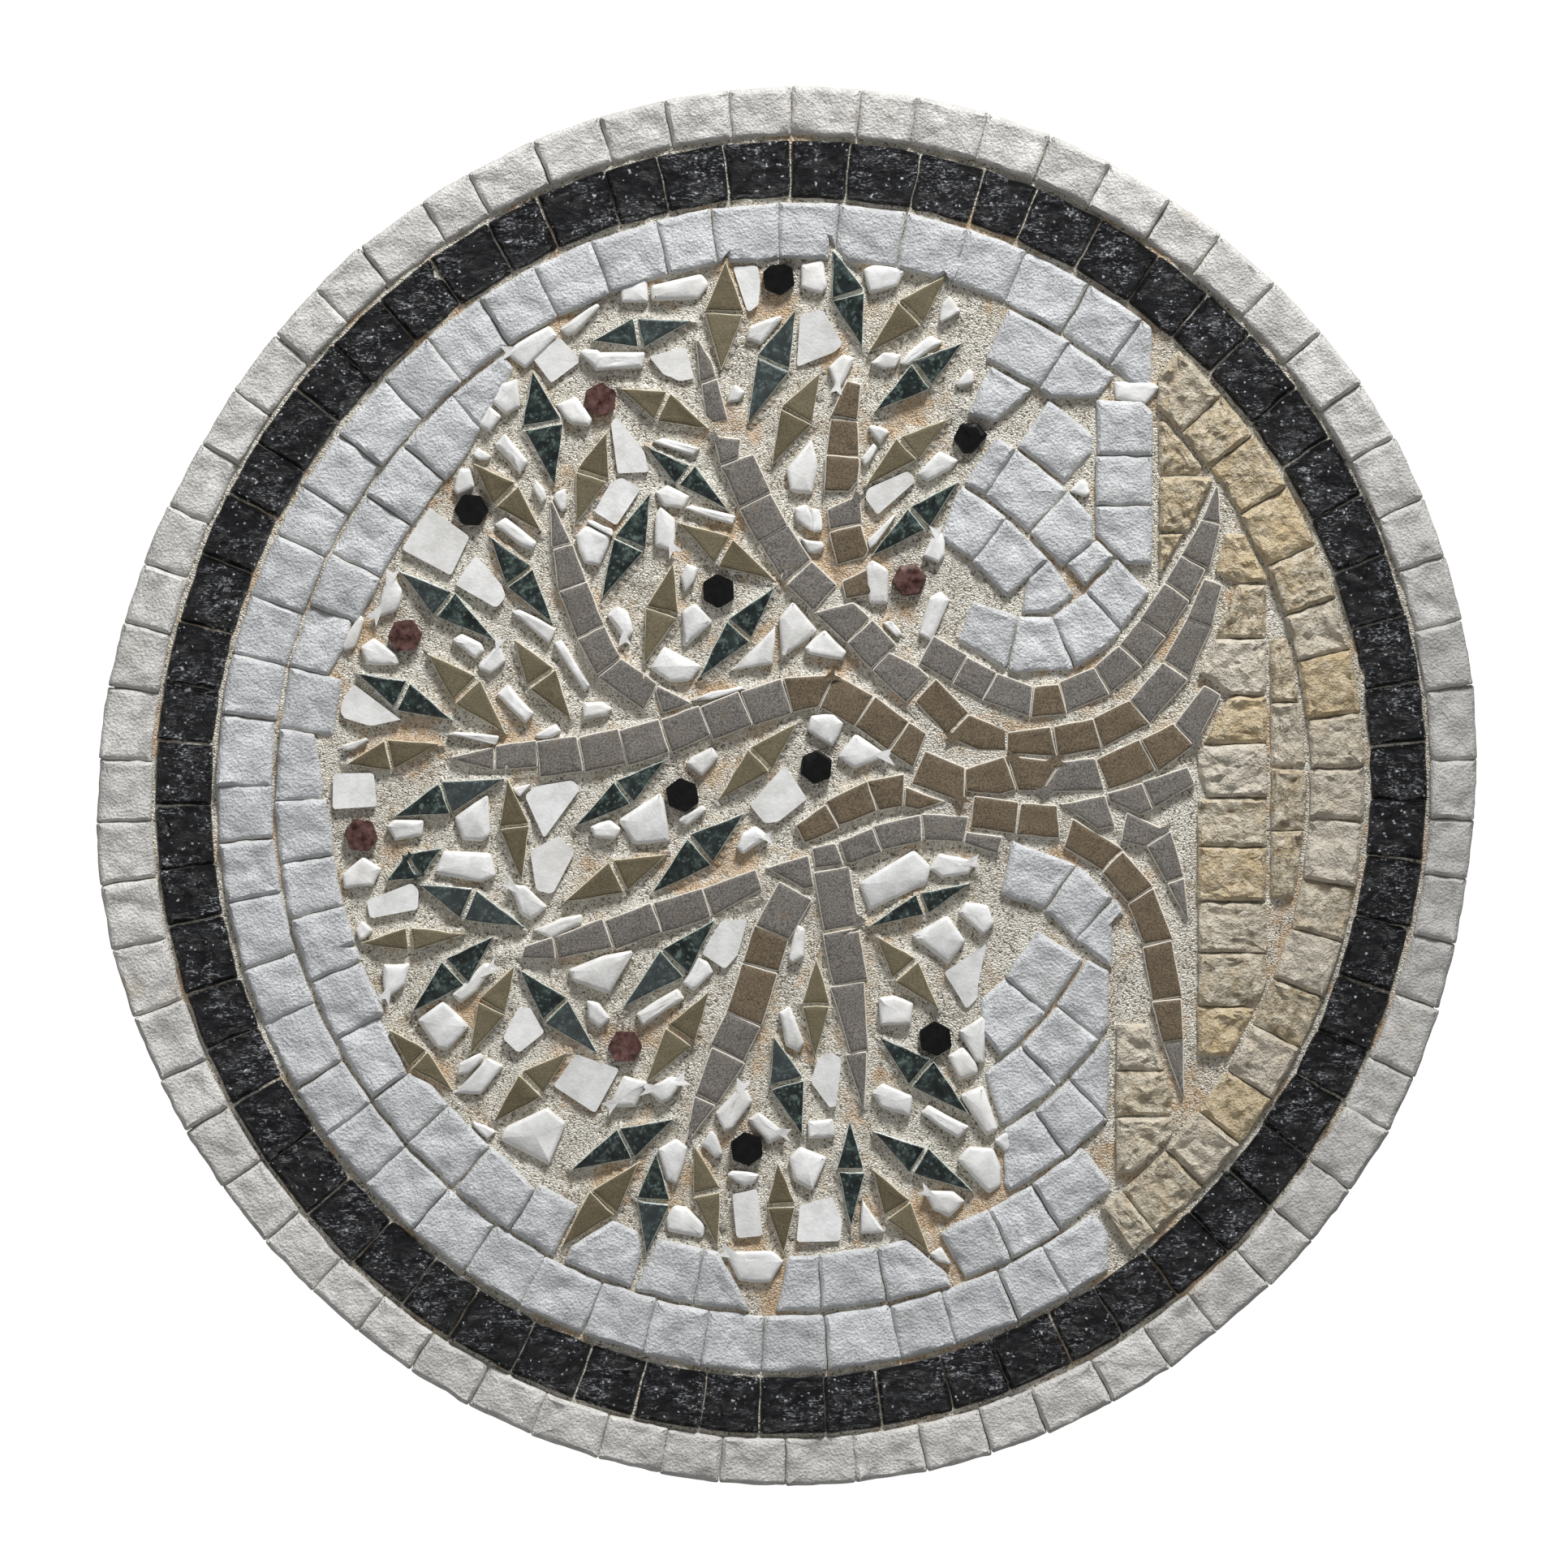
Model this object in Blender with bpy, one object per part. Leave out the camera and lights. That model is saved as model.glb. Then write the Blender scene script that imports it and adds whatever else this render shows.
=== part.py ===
"""Round stone mosaic panel with an olive tree, modelled upright as it hangs on a wall.

The flat back lies in the plane Y = 0 with the origin at its middle, the face looks along -Y, +X is
to the right and +Z is up. Sizes are in metres, and depths are measured from the back. The picture is
drawn in units of its own, across (x) and up (z) from the middle of the panel, and is set to the size of
the round field inside the black course.
"""
import math

import bmesh
import bpy
import numpy as np
from mathutils import Vector
from mathutils.geometry import delaunay_2d_cdt

# Driving sizes
PANEL_RADIUS = 0.115
OUT_OF_ROUND = 0.011            # the disc is cut by hand and is a little wider along one heading
WIDE_HEADING = math.radians(-17.0)
BED_THICKNESS = 0.007           # mortar under the stones
STONE_FACE = 0.0148             # depth of the mean stone face
FIELD_JOINT_FACE = 0.014        # mortar between the split stones
TREE_JOINT_FACE = 0.0139
CROWN_MORTAR_FACE = 0.0131      # coarse mortar round the leaves and chips
POCKET_FLOOR = 0.0086           # how deep the leaves are pressed in
FIT_GAP = 0.0003                # clearance between separate pieces
JOINT = 0.0005                  # joint between stones of one course
COURSE_JOINT = 0.001            # joint between two courses of separate pieces
UNEVEN = 0.00018                # how far a stone's face stands above or below the mean
LEAST_STEP = 0.00004            # between a stone's face and that of the stone before it
TILT = 0.02                     # slope of a hand-set stone face

# Rings, from the rim inwards
RIM_STONES = 66
RIM_CUT = (0.1, 0, -0.1, -0.9, 0.4, 1.5, 0.1, -0.7, -0.6, -0.2, -0.1, 0.1, 0.5, -0.8, 0.1, 0.5, -0.1, 0.1)
RIM_CUT_SCALE = 0.001           # how far the hand-cut rim runs out or in, at equal headings from +X
RIM_COURSE = 0.0077
BLACK_STONES = 63
BLACK_COURSE = 0.0091
FIELD_COURSE = 0.0093
FIELD_PITCH = 0.010
FIELD_REACH = 0.5               # share of the field's radius that its rings cover
WHITE_RING_FROM = math.radians(-43.0)
WHITE_RING_TO = math.radians(215.5)
CROWN_REACHES_RING = (math.radians(-17.0), math.radians(27.0))
FIELD_ENDS = (math.radians(-60.0), math.radians(240.0))

# The picture is drawn to this radius of the round field
DRAWN_RADIUS = 96.2

# Ground at the foot of the tree; its lines and the ends of its rows are drawn
GROUND_PITCH = 0.0091
GROUND_SHORT_PITCH = 0.0085
GROUND_LONG_PITCH = 0.0106
GROUND_SMALL_PITCH = 0.0066
GROUND_LINE_RIGHT = -60.9
GROUND_LINE_LEFT = -53.8
GROUND_ROW_TOP = -67.4
GROUND_ROW_DEPTH = 0.0116
GROUND_SIDE_ROW = 0.0096
GROUND_LAST_ROW = 0.0084
GROUND_LAP = math.radians(1.5)
GROUND_DIP = (-22.0, 44.0)      # between these places the roots reach down into the ground
GROUND_DIP_SIDES = (6.0, 8.0)
GROUND_ROWS = ((-54, 42), (42.5, 78), (-80, -22), (42.5, 62), (-68, -54.4), (-50, 46), (22, 42))
GROUND_ARC_STEPS = 9
FIELD_SIDES = 24
BED_SIDES = 48
UNDER_STONES = 0.0015           # how far the mortar's edge lies back under a ring of stones

# Leaves, drawn: one tip (x, z), the other tip (x, z) and the width
LEAF_SPLIT = 0.47               # where the cross joint lies between the tips
LEAF_JOINT = 0.0006
GREEN_LEAVES = (
    (69, 43, 50, 39, 6.7), (74, 33, 77, 16.5, 5.2), (42, 50, 27, 39.5, 5.4), (49, 23, 31, 31, 5.7),
    (57, 24.5, 46, 10, 4.2), (36, 65, 24, 49, 5.2), (89.5, -7, 73, -12, 5.7), (79.5, -0.5, 60, 7, 6),
    (74, -28.5, 62, -14, 5.2), (50.5, -28, 38, -13.5, 4.7), (19, 72, 11, 56, 5.2), (-5, 66, 1.7, 47.5, 5.7),
    (-15.5, 67, -10, 57.8, 4.7), (-15.7, 61.5, -23.5, 44.5, 5.7), (4.5, 20.5, -6.7, 36, 4.8),
    (-4, 7.7, -17.6, 23, 6.2), (33.6, 2.6, 17.5, 15, 5.2), (-25, 49, -37, 63, 5.7), (-30, 45, -44.5, 32, 5.7),
    (-55, 19, -63.4, 36.7, 5.7), (-60.6, 22, -77.5, 24, 5.7), (-22, 12.3, -36.7, 27.5, 6.1),
    (-16, -30, -23, -12.6, 3.8), (-41, -14.5, -54.5, -29.5, 5.9), (-41.3, 3, -58, -2, 5.9),
    (-55.2, -10, -73.2, -9.9, 4.6), (-57, -13.3, -67.4, -30, 5.1),
)
TAN_LEAVES = (
    (66.5, 28.2, 59.5, 13.4, 5.4), (59, 30.5, 43.5, 36, 5.7), (53.7, 52.7, 42.4, 41.4, 5.4),
    (44, 18.8, 34, 2.6, 5.4), (37.3, 19, 20, 24, 5.7), (87.5, 10.7, 69, 11.4, 6.7), (85, -26, 71.6, -13, 5.7),
    (69, -5, 53.4, 3.6, 5.9), (61.6, -26.3, 50, -12, 5.1), (22.5, 60, 9, 47, 5.9), (24.5, 46, 11.2, 36.4, 5.7),
    (4, 74, 7, 58.3, 5.4), (1.7, 47, -15.7, 44.8, 5.1), (-10.8, 20.5, -19, 37.6, 5.9),
    (11, -1, -2.3, 12.2, 5.4), (-26.2, 71.4, -24, 54, 4), (-29.3, 45.8, -44.7, 53.6, 5.1), (-40, 66.7, -50.7, 56.3, 4.3),
    (-43.7, 37, -55.6, 49.7, 5.4), (-62, 25, -76.5, 38, 5.9), (-33.6, 13.4, -49.4, 24, 5.4),
    (-28, -4.5, -45, -3.8, 4.8), (-24.5, -14, -36.6, -24.6, 5.4), (-59.2, 16, -76.3, 11.8, 4.8),
    (-62, 2, -77.5, 1, 4.8), (-63.3, -13.4, -77.5, -23, 5.1),
)
OLIVE_RADIUS = 0.0029
OLIVE_SIDES = 6
OLIVE_RISE = 0.0005             # an olive stands above the chips round it
OLIVES = ((84.4, 2), (46, 53), (57.9, -29.8), (32.6, 12), (-1.3, 18), (3.4, -4.2), (-41.7, -24), (-60, 7.3),
          (64.3, 31.6), (25.2, 64), (-8, 71.3), (-43, 27.5), (34.3, -19.6))

# Limbs and roots, drawn: route (x, z) from the tip inwards, width at each end and number of stones
TREE_RUNS = (
    (((74, 15.7), (64.6, 12), (51.7, 7.9), (37.7, 0.3), (27.2, -10), (11.4, -25.6)), 0.6, 6.0, 11),
    (((67.3, -10.4), (60, -8.8), (46, -8.7), (31.6, -11.8)), 2.6, 5.8, 6),
    (((47.4, 40), (33, 36), (25.4, 33.2), (18.2, 28.6), (11.4, 17.4)), 0.6, 5.2, 6),
    (((5, 56.3), (5, 38.3), (8.3, 21.5), (15.3, 0), (15.6, -7), (0.7, -29.3)), 0.6, 6.2, 13),
    (((-8, -1.4), (-2.4, -11), (-0.3, -18.2), (-2, -26)), 3.6, 5.6, 4),
    (((-15, 3), (-12.4, -2), (-11, -9.4)), 3.0, 4.6, 2),
    (((-11, -8.6), (-6.8, -19.3), (-6.7, -28), (-9, -35)), 4.4, 4.6, 4),
    (((-28.3, 49), (-25.3, 33.6), (-20, 16.8), (-17, 8), (-13.6, -4.5)), 0.6, 5.4, 6),
    (((-58.4, 17.3), (-49, 12.7), (-37.7, 7.6), (-25, 3.6), (-17, -1)), 0.6, 6.4, 6),
    (((-53, -12), (-36.3, -10), (-20.5, -8), (-13.6, -7)), 0.6, 6.2, 4),
    (((50, -71), (41, -68.7), (29, -61.8), (18, -52), (14.3, -39), (23, -22.3)), 0.6, 5.4, 11),
    (((34.3, -70.2), (21, -64.8), (10.5, -54.7), (7, -33.7), (16.2, -22.3)), 3.4, 5.4, 8),
    (((16, -70), (7.8, -64), (0.7, -47.4), (3, -40), (0.3, -29), (3.4, -21)), 3.4, 6.2, 7),
    (((2, -66.4), (-3.4, -54.3), (-5.8, -43.4), (-4, -30)), 3.4, 5.6, 5),
    (((-51, -65), (-38.4, -62.7), (-21.3, -59.7), (-9.4, -50.5), (-7.4, -46)), 0.6, 5.2, 6),
    (((-21.5, -66), (-14, -63.3), (-7.7, -60), (-6.7, -55)), 0.6, 5.0, 3),
)

ROUTE_STEP = 0.5                # over which the heading of a route is measured

# Stones of the white field that follow the trunk, and the row on the ground at the right, drawn
HUGGING_RUNS = (
    (((27.5, -20), (27.2, -26.3), (24, -35), (23.4, -43.5), (28, -51), (34.5, -57.5)), 9.6, 9.6, 5),
    (((-12.6, -28), (-13.5, -36), (-16.2, -44), (-22, -50.5), (-27, -57)), 8.6, 9.4, 4),
)
RIGHT_ROW = (37.0, 74.0, -60.0, -50.6)

# The larger of the crown's smooth white chips, drawn: the corners (x, z) of each, the largest first
CHIPS = (
    ((35.3, 56.3), (41.5, 53.3), (46.2, 59.8), (40.1, 65.9)),
    ((-10.4, -20.5), (-15.9, -11.2), (-20.4, -12.9), (-16.1, -22.5), (-13.1, -23.3)),
    ((-58.5, 48.2), (-62.8, 40.1), (-55.6, 37.3), (-53.1, 40.3), (-56.3, 47.4)),
    ((-54.1, 32.5), (-46.8, 28.5), (-44.4, 35.8), (-49.6, 39.5)),
    ((-46.9, -0.4), (-53.4, -2.2), (-52.9, -7.5), (-45, -8.3), (-43.9, -6.6)),
    ((-26, -32.6), (-30.7, -25.4), (-37.9, -30), (-36.2, -32.2), (-26.7, -33.7)),
    ((-9.6, 26.2), (-9, 20), (-5.9, 19.3), (-0.8, 21.8), (-5.3, 28.6)),
    ((-3, 6.9), (-6.1, 4.3), (-5.6, 1.8), (-2, -2.6), (3.6, 1)),
    ((78.4, -1.5), (69.9, -1), (72.1, -7.2), (73.7, -8.7), (79.2, -5.2)),
    ((-75.5, -0.9), (-75.2, -8.1), (-71.9, -8.6), (-67.9, -6.8), (-69.4, -1.4)),
    ((-50.9, -28.2), (-55.8, -29.2), (-58.4, -32.4), (-56.3, -35.9), (-48.8, -33.4)),
    ((-32.3, 36.1), (-34.3, 30), (-27.6, 26.2), (-26.2, 27), (-30.2, 37)),
    ((-8, 38.4), (-10.5, 43.3), (-17.2, 42.2), (-17.6, 39.5), (-10.9, 35.8)),
    ((-1.2, 50.2), (-6.9, 59.9), (-8.3, 58.9), (-9, 51.2), (-7.9, 49.8)),
    ((-8.3, 40.8), (-0.3, 35.1), (1.2, 36.2), (0, 42.5), (-1.5, 44.1)),
    ((80.7, 23.2), (81, 15.4), (83.5, 13.6), (86.6, 15.4), (84.7, 23.2)),
    ((-10.8, 49.7), (-10.5, 57.6), (-14.3, 59.2), (-15.9, 51.4), (-14.8, 48.8)),
    ((-68.1, -33.3), (-65.9, -36.1), (-60, -33.8), (-59.5, -29.5), (-61.8, -27.4)),
    ((-39.5, 53.1), (-35.3, 57.7), (-38.7, 62.1), (-43.4, 58.8), (-43.7, 57.1)),
    ((-3.7, 76.1), (-3.3, 68.7), (2.4, 69.3), (2.2, 75.7)),
    ((52.1, 28.7), (52.4, 23.4), (57.8, 24.8), (61.8, 28.6), (60.4, 29.8)),
    ((67, 39.8), (70.8, 34.9), (75.7, 39.4), (72.5, 43.6)),
    ((-29.3, -26), (-25.6, -29.1), (-21.1, -26), (-24.6, -20)),
    ((33.8, 55.8), (29.7, 48.7), (32.4, 46.9), (38.6, 52.3)),
    ((13.5, 75.1), (11.5, 74.2), (10.1, 69.8), (11.2, 64.7), (17.1, 72.6)),
    ((-30.3, 11), (-27.7, 8.9), (-21.9, 7.2), (-22.1, 11.4), (-27.5, 14.9)),
    ((21.3, 1.6), (25.9, -4.6), (30.8, -0.3), (28.1, 2)),
    ((-74.7, 9.1), (-74.6, 4.6), (-66.7, 5.7), (-67.5, 9.8)),
    ((51.3, 27.9), (50.6, 29.9), (45.7, 32.7), (43.4, 28.9), (49.6, 24.9)),
    ((-19, 70.4), (-21.7, 69.8), (-20.4, 61.9), (-17.2, 61.6), (-15.9, 63)),
    ((23.5, 21.2), (19.9, 23.6), (17.4, 20.2), (17.6, 16.9), (20.2, 14.7)),
    ((52.9, 0.8), (49, 0), (48.7, -3.6), (53.5, -4.5), (57.9, -3.5)),
    ((-36.4, 43.2), (-36.8, 45.5), (-41.6, 47.9), (-44.1, 45.1), (-40.8, 40.9)),
    ((88.1, 6.4), (86.6, 10), (78.8, 7.2), (80.1, 5.4), (86.6, 4.7)),
    ((-73.5, 20.6), (-74.8, 14.5), (-72.8, 14.2), (-67.1, 19.3), (-69.7, 20.9)),
    ((2.9, -10.4), (5.4, -16.7), (9.4, -11.1), (5.2, -7.6)),
    ((43.9, 33.5), (41.9, 35.7), (37.2, 34.7), (36.6, 31.8), (41.8, 29.4)),
    ((-59.6, -1.6), (-61.3, 0.3), (-65.3, -0.5), (-67, -3.6), (-61.4, -6.1)),
    ((45.2, -14.3), (50.9, -20.7), (52.5, -19.5), (49.7, -12.9), (48.1, -12.3)),
    ((68.7, 21.2), (67.5, 18.7), (67.8, 15.9), (73.1, 17.5), (71.5, 23.5)),
    ((24.2, 18.9), (23.3, 17.3), (27.5, 12.9), (30.5, 15.9), (29.1, 18.5)),
)

# Outline of the crown, drawn, where smooth chips lie in coarse mortar instead of the coursed field
CROWN_OUTLINE = ((86.5, 10), (87, -8), (84, -24), (75, -29), (63, -25), (60, -34), (54, -29), (41, -24),
                 (31, -25), (18, -20), (0, -25), (-13, -30), (-24, -33), (-33, -31), (-46, -31), (-58, -35),
                 (-66, -35), (-74, -24), (-77, 0), (-74, 22), (-62, 46), (-44, 62), (-25, 72), (0, 77),
                 (24, 73), (42, 63), (54, 54), (70, 45), (82, 28))
CROWN_MIDDLE = (8.0, 25.0)      # every part of the outline is in sight of this point
TRUNK_OUTLINE = ((22, -23), (15, -36), (14, -48), (10, -58), (2, -62), (-8, -54), (-9, -40), (-4, -26),
                 (4, -20))
WEB_GAP = 0.00045               # between the mortar of two pieces
NEARNESS = 0.00002              # outlines closer than this are joined
PINCH = 0.00025                 # half width of the notch between two stones that would meet in a point
PINCH_ROUNDS = 2
HIGHEST_RANK = 9
FLATNESS = math.radians(0.3)
CHIP_JOINT = 0.0006
CHIP_GAP = 0.0005               # between two chips
CHIP_LIMIT = 1.25               # chips that run past the crown's outline are cut off as far as this
SLIVER = 0.0014                 # a stone narrower than this isn't laid

SEED = 11
rng = np.random.default_rng(SEED)


def stretched(radius, heading):
    """A point of a ring, on the panel's slightly oval outline."""
    r = radius * (1 + OUT_OF_ROUND * math.cos(2 * (heading - WIDE_HEADING)))
    return np.array((r * math.cos(heading), r * math.sin(heading)))


def cut_rim(heading):
    """A point of the hand-cut rim."""
    headings = np.arange(len(RIM_CUT) + 1) * 2 * math.pi / len(RIM_CUT)
    run_out = np.interp(heading % (2 * math.pi), headings, RIM_CUT + RIM_CUT[:1]) * RIM_CUT_SCALE
    return stretched(PANEL_RADIUS + run_out, heading)


def picture_scale():
    """Metres to one unit of the drawing."""
    return ring_radius() / DRAWN_RADIUS


def drawn(numbers):
    """Numbers of the drawing in metres."""
    return np.array(numbers, float) * picture_scale()


def area(poly):
    x, z = poly[:, 0], poly[:, 1]
    return 0.5 * float(np.sum(x * np.roll(z, -1) - z * np.roll(x, -1)))


def counter_clockwise(points):
    poly = np.array(points, float)
    return poly if area(poly) > 0 else poly[::-1]


def edge_normals(poly):
    """Outward normals of a convex outline and their distances from the origin."""
    along = np.roll(poly, -1, axis=0) - poly
    normals = np.stack((along[:, 1], -along[:, 0]), axis=1)
    normals /= np.maximum(np.linalg.norm(normals, axis=1), 1e-9)[:, None]
    return normals, np.sum(normals * poly, axis=1)


def cut(poly, normal, limit):
    """The part of a convex outline on the far side of a line."""
    kept = []
    side = poly @ normal - limit
    for i in range(len(poly)):
        j = (i + 1) % len(poly)
        if side[i] >= 0:
            kept.append(poly[i])
        if (side[i] >= 0) != (side[j] >= 0):
            kept.append(poly[i] + (poly[j] - poly[i]) * side[i] / (side[i] - side[j]))
    return np.array(kept) if len(kept) > 2 else np.zeros((0, 2))


def apart(a, b, gap):
    for one, two in ((a, b), (b, a)):
        normals, limits = edge_normals(one)
        if np.any(np.min(two @ normals.T, axis=0) >= limits + gap):
            return True
    return False


def keep_off(poly, other, gap):
    """Cuts an outline back along the side of its neighbour that costs it least."""
    if len(poly) < 3 or apart(poly, other, gap):
        return poly
    best = np.zeros((0, 2))
    for normal, limit in zip(*edge_normals(other)):
        trial = cut(poly, normal, limit + gap)
        if len(trial) and (not len(best) or area(trial) > area(best)):
            best = trial
    return best


def spread(poly, distance):
    """A convex outline moved outwards by a distance."""
    normals, limits = edge_normals(poly)
    limits = limits + distance
    corners = []
    for i in range(len(poly)):
        matrix = np.array((normals[i - 1], normals[i]))
        if abs(np.linalg.det(matrix)) > 1e-3:
            corners.append(np.linalg.solve(matrix, (limits[i - 1], limits[i])))
    return np.array(corners)


def without_short_edges(poly, shortest):
    kept = [p for i, p in enumerate(poly) if np.linalg.norm(p - poly[i - 1]) > shortest]
    return np.array(kept) if len(kept) > 2 else poly


def inside(point, outline):
    hit = False
    for i in range(len(outline)):
        a, b = outline[i - 1], outline[i]
        if (a[1] > point[1]) != (b[1] > point[1]):
            hit ^= point[0] < (b[0] - a[0]) * (point[1] - a[1]) / (b[1] - a[1]) + a[0]
    return hit


def narrowest(poly):
    normals, limits = edge_normals(poly)
    return float(np.min(limits - np.min(poly @ normals.T, axis=0)))


def smooth_route(points, steps=12):
    """A Catmull-Rom curve through the route's points."""
    p = np.array(points, float)
    p = np.vstack((2 * p[0] - p[1], p, 2 * p[-1] - p[-2]))
    curve = []
    for a, b, c, d in zip(p, p[1:], p[2:], p[3:]):
        for t in np.arange(steps) / steps:
            curve.append(0.5 * (2 * b + (c - a) * t + (2 * a - 5 * b + 4 * c - d) * t * t
                                + (3 * b - a - 3 * c + d) * t ** 3))
    return np.array(curve + [p[-2]])


def winding_course(route, width_start, width_end, count, grown=0.0):
    """Side points at each cut across a winding course, from its tip to its foot."""
    curve = smooth_route(route)
    scale = picture_scale()
    length = np.concatenate(((0,), np.cumsum(np.linalg.norm(np.diff(curve, axis=0), axis=1))))

    def side_points(s, width):
        at = np.array([np.interp(s, length, curve[:, k]) for k in (0, 1)])
        ahead = np.array([np.interp(s + ROUTE_STEP, length, curve[:, k]) for k in (0, 1)])
        behind = np.array([np.interp(s - ROUTE_STEP, length, curve[:, k]) for k in (0, 1)])
        way = (ahead - behind) / np.linalg.norm(ahead - behind)
        half = width * np.array((-way[1], way[0])) / 2
        return at * scale + half, at * scale - half

    full = min(1.0, 1.6 / count) * length[-1]
    cuts = np.linspace(0, length[-1], count + 1)
    uneven = np.sin(np.arange(1, count) * (2.1 + length[-1])) * 0.09
    cuts[1:-1] += uneven * length[-1] / count
    widths = width_start + (width_end - width_start) * np.minimum(1.0, cuts / full)
    sides = [side_points(s, w * scale + 2 * grown) for s, w in zip(cuts, widths)]
    way = (np.mean(sides[1], axis=0) - np.mean(sides[0], axis=0))
    sides[0] = tuple(p - way / np.linalg.norm(way) * grown for p in sides[0])
    way = (np.mean(sides[-1], axis=0) - np.mean(sides[-2], axis=0))
    sides[-1] = tuple(p + way / np.linalg.norm(way) * grown for p in sides[-1])
    return sides


def strip(run, grown=0.0):
    """The whole outline of a winding course."""
    sides = winding_course(*run, grown=grown)
    return counter_clockwise([s[0] for s in sides] + [s[1] for s in reversed(sides)])


def run_of_stones(run):
    """Stones cut across a winding course; they touch and step at their joints."""
    sides = winding_course(*run)
    return [counter_clockwise((a, c, d, b)) for (a, b), (c, d) in zip(sides, sides[1:])]


def course_of_stones(heading_from, heading_to, radius_in, radius_out, pitch, outside=None):
    """Stones of one ring between two headings; outside, if given, makes the points of the outer edge."""
    middle = (radius_in + radius_out) / 2
    count = max(1, round(abs(heading_to - heading_from) * middle / pitch))
    cuts = np.linspace(heading_from, heading_to, count + 1)
    cuts[1:-1] += rng.uniform(-0.09, 0.09, count - 1) * pitch / middle
    ends = [(stretched(radius_in, a), outside(a) if outside else stretched(radius_out, a)) for a in cuts]
    return [counter_clockwise((a, b, d, c)) for (a, b), (c, d) in zip(ends, ends[1:])]


def row_of_stones(x_from, x_to, z_low, z_high, pitch):
    """Stones of one level row."""
    count = max(1, round((x_to - x_from) / pitch))
    cuts = np.linspace(x_from, x_to, count + 1)
    cuts[1:-1] += rng.uniform(-0.08, 0.08, count - 1) * pitch
    return [counter_clockwise(((a, z_low), (b, z_low), (b, z_high), (a, z_high)))
            for a, b in zip(cuts, cuts[1:])]


def leaf_halves(leaf):
    """The two triangular stones of a leaf and its whole outline, each counter-clockwise from a tip."""
    x1, z1, x2, z2, width = drawn(leaf)
    tip_a, tip_b = np.array((x1, z1)), np.array((x2, z2))
    along = (tip_b - tip_a) / np.linalg.norm(tip_b - tip_a)
    side = np.array((-along[1], along[0])) * width / 2
    middle = tip_a + (tip_b - tip_a) * LEAF_SPLIT
    outline = np.array((tip_a, middle - side, tip_b, middle + side))
    halves = []
    for first in (0, 2):
        corners = outline[[first, first + 1, first - 1]]
        share = 1 - LEAF_JOINT / 2 / np.linalg.norm(middle - corners[0])
        halves.append(corners[0] + (corners - corners[0]) * share)
    return halves, outline


class Region:
    """An outline whose top lies at a depth, level or tilted about its middle."""

    def __init__(self, outline, face, rank, tilt=0.0):
        self.outline = outline
        self.corners = [tuple(map(float, p)) for p in outline]
        self.low = tuple(map(min, zip(*self.corners)))
        self.high = tuple(map(max, zip(*self.corners)))
        self.rank = rank
        self.middle = np.mean(outline, axis=0)
        self.face = face
        self.slope = rng.uniform(-tilt, tilt, 2)

    def holds(self, x, z):
        near = self.low[0] < x < self.high[0] and self.low[1] < z < self.high[1]
        return near and inside((x, z), self.corners)

    def depth(self, point):
        return round(float(self.face + self.slope @ (np.array(point) - self.middle)), 7)


def stone_regions(stones, face, tilt=0.0):
    """Regions of stones at uneven heights, no stone level with the one before it."""
    found, last = [], face
    for stone in stones:
        height = last
        while abs(height - last) < LEAST_STEP:
            height = round(face + rng.uniform(-UNEVEN, UNEVEN), 5)
        found.append(Region(stone, height, 2, tilt))
        last = height
    return found


def largest_group(pairs):
    """The cells that hang together edge to edge in the largest group."""
    beside = {}
    for n, (cell, _) in enumerate(pairs):
        for i in range(len(cell)):
            beside.setdefault(frozenset((cell[i - 1], cell[i])), []).append(n)
    left, groups = set(range(len(pairs))), []
    while left:
        group, front = set(), {left.pop()}
        while front:
            group |= front
            near = {m for n in front for i in range(len(pairs[n][0]))
                    for m in beside[frozenset((pairs[n][0][i - 1], pairs[n][0][i]))]}
            front = near - group
        left -= group
        groups.append(group)
    return [pairs[n] for n in sorted(max(groups, key=len))]


class Cells:
    """The plan cut into cells, each owned by its region of highest rank."""

    def __init__(self, regions):
        points, faces = [], []
        for region in regions:
            faces.append(tuple(range(len(points), len(points) + len(region.outline))))
            points += [Vector(p) for p in np.round(region.outline, 6)]
        self.flat, _, cells, _, _, _ = delaunay_2d_cdt(points, [], faces, 0, NEARNESS)
        pairs = []
        for cell in cells:
            middle = [sum(along) / len(cell) for along in zip(*(self.flat[v] for v in cell))]
            owner = max((r for r in regions if r.holds(*middle)), key=lambda r: r.rank, default=None)
            if owner and owner.face is not None:
                pairs.append((cell, owner))
        self.pairs = largest_group(pairs)
        self.touching = [{} for _ in self.flat]
        self.edges = {}
        for n, (cell, _) in enumerate(self.pairs):
            for i, v in enumerate(cell):
                self.touching[v][n] = (cell[i - 1], cell[(i + 1) % len(cell)])
                self.edges[(cell[i - 1], v)] = n

    def depth(self, n, v):
        return self.pairs[n][1].depth(self.flat[v])

    def levels(self, v):
        return {self.depth(n, v) for n in self.touching[v]}

    def hang_together(self, v, group):
        """Whether the cells of a group round a point are joined edge to edge there."""
        found, front = set(), set(list(group)[:1])
        while front:
            found |= front
            near = {self.edges.get(edge) for n in front
                    for edge in ((v, self.touching[v][n][0]), (self.touching[v][n][1], v))}
            front = (near & group) - found
        return found == group

    def pinches(self, base):
        """Small regions that part two high corners which meet in one point."""
        found = []
        for v, place in enumerate(self.flat):
            for level in sorted(self.levels(v) | {base}):
                group = {n for n in self.touching[v] if self.depth(n, v) >= level}
                if not self.hang_together(v, group):
                    lower = [d for d in self.levels(v) if d < level]
                    corners = [(place[0] + x, place[1] + z) for x, z in ((PINCH, 0), (0, PINCH), (-PINCH, 0),
                                                                         (0, -PINCH))]
                    found.append(Region(np.array(corners), max(lower) if lower else None, HIGHEST_RANK))
                    break
        return found


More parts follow.
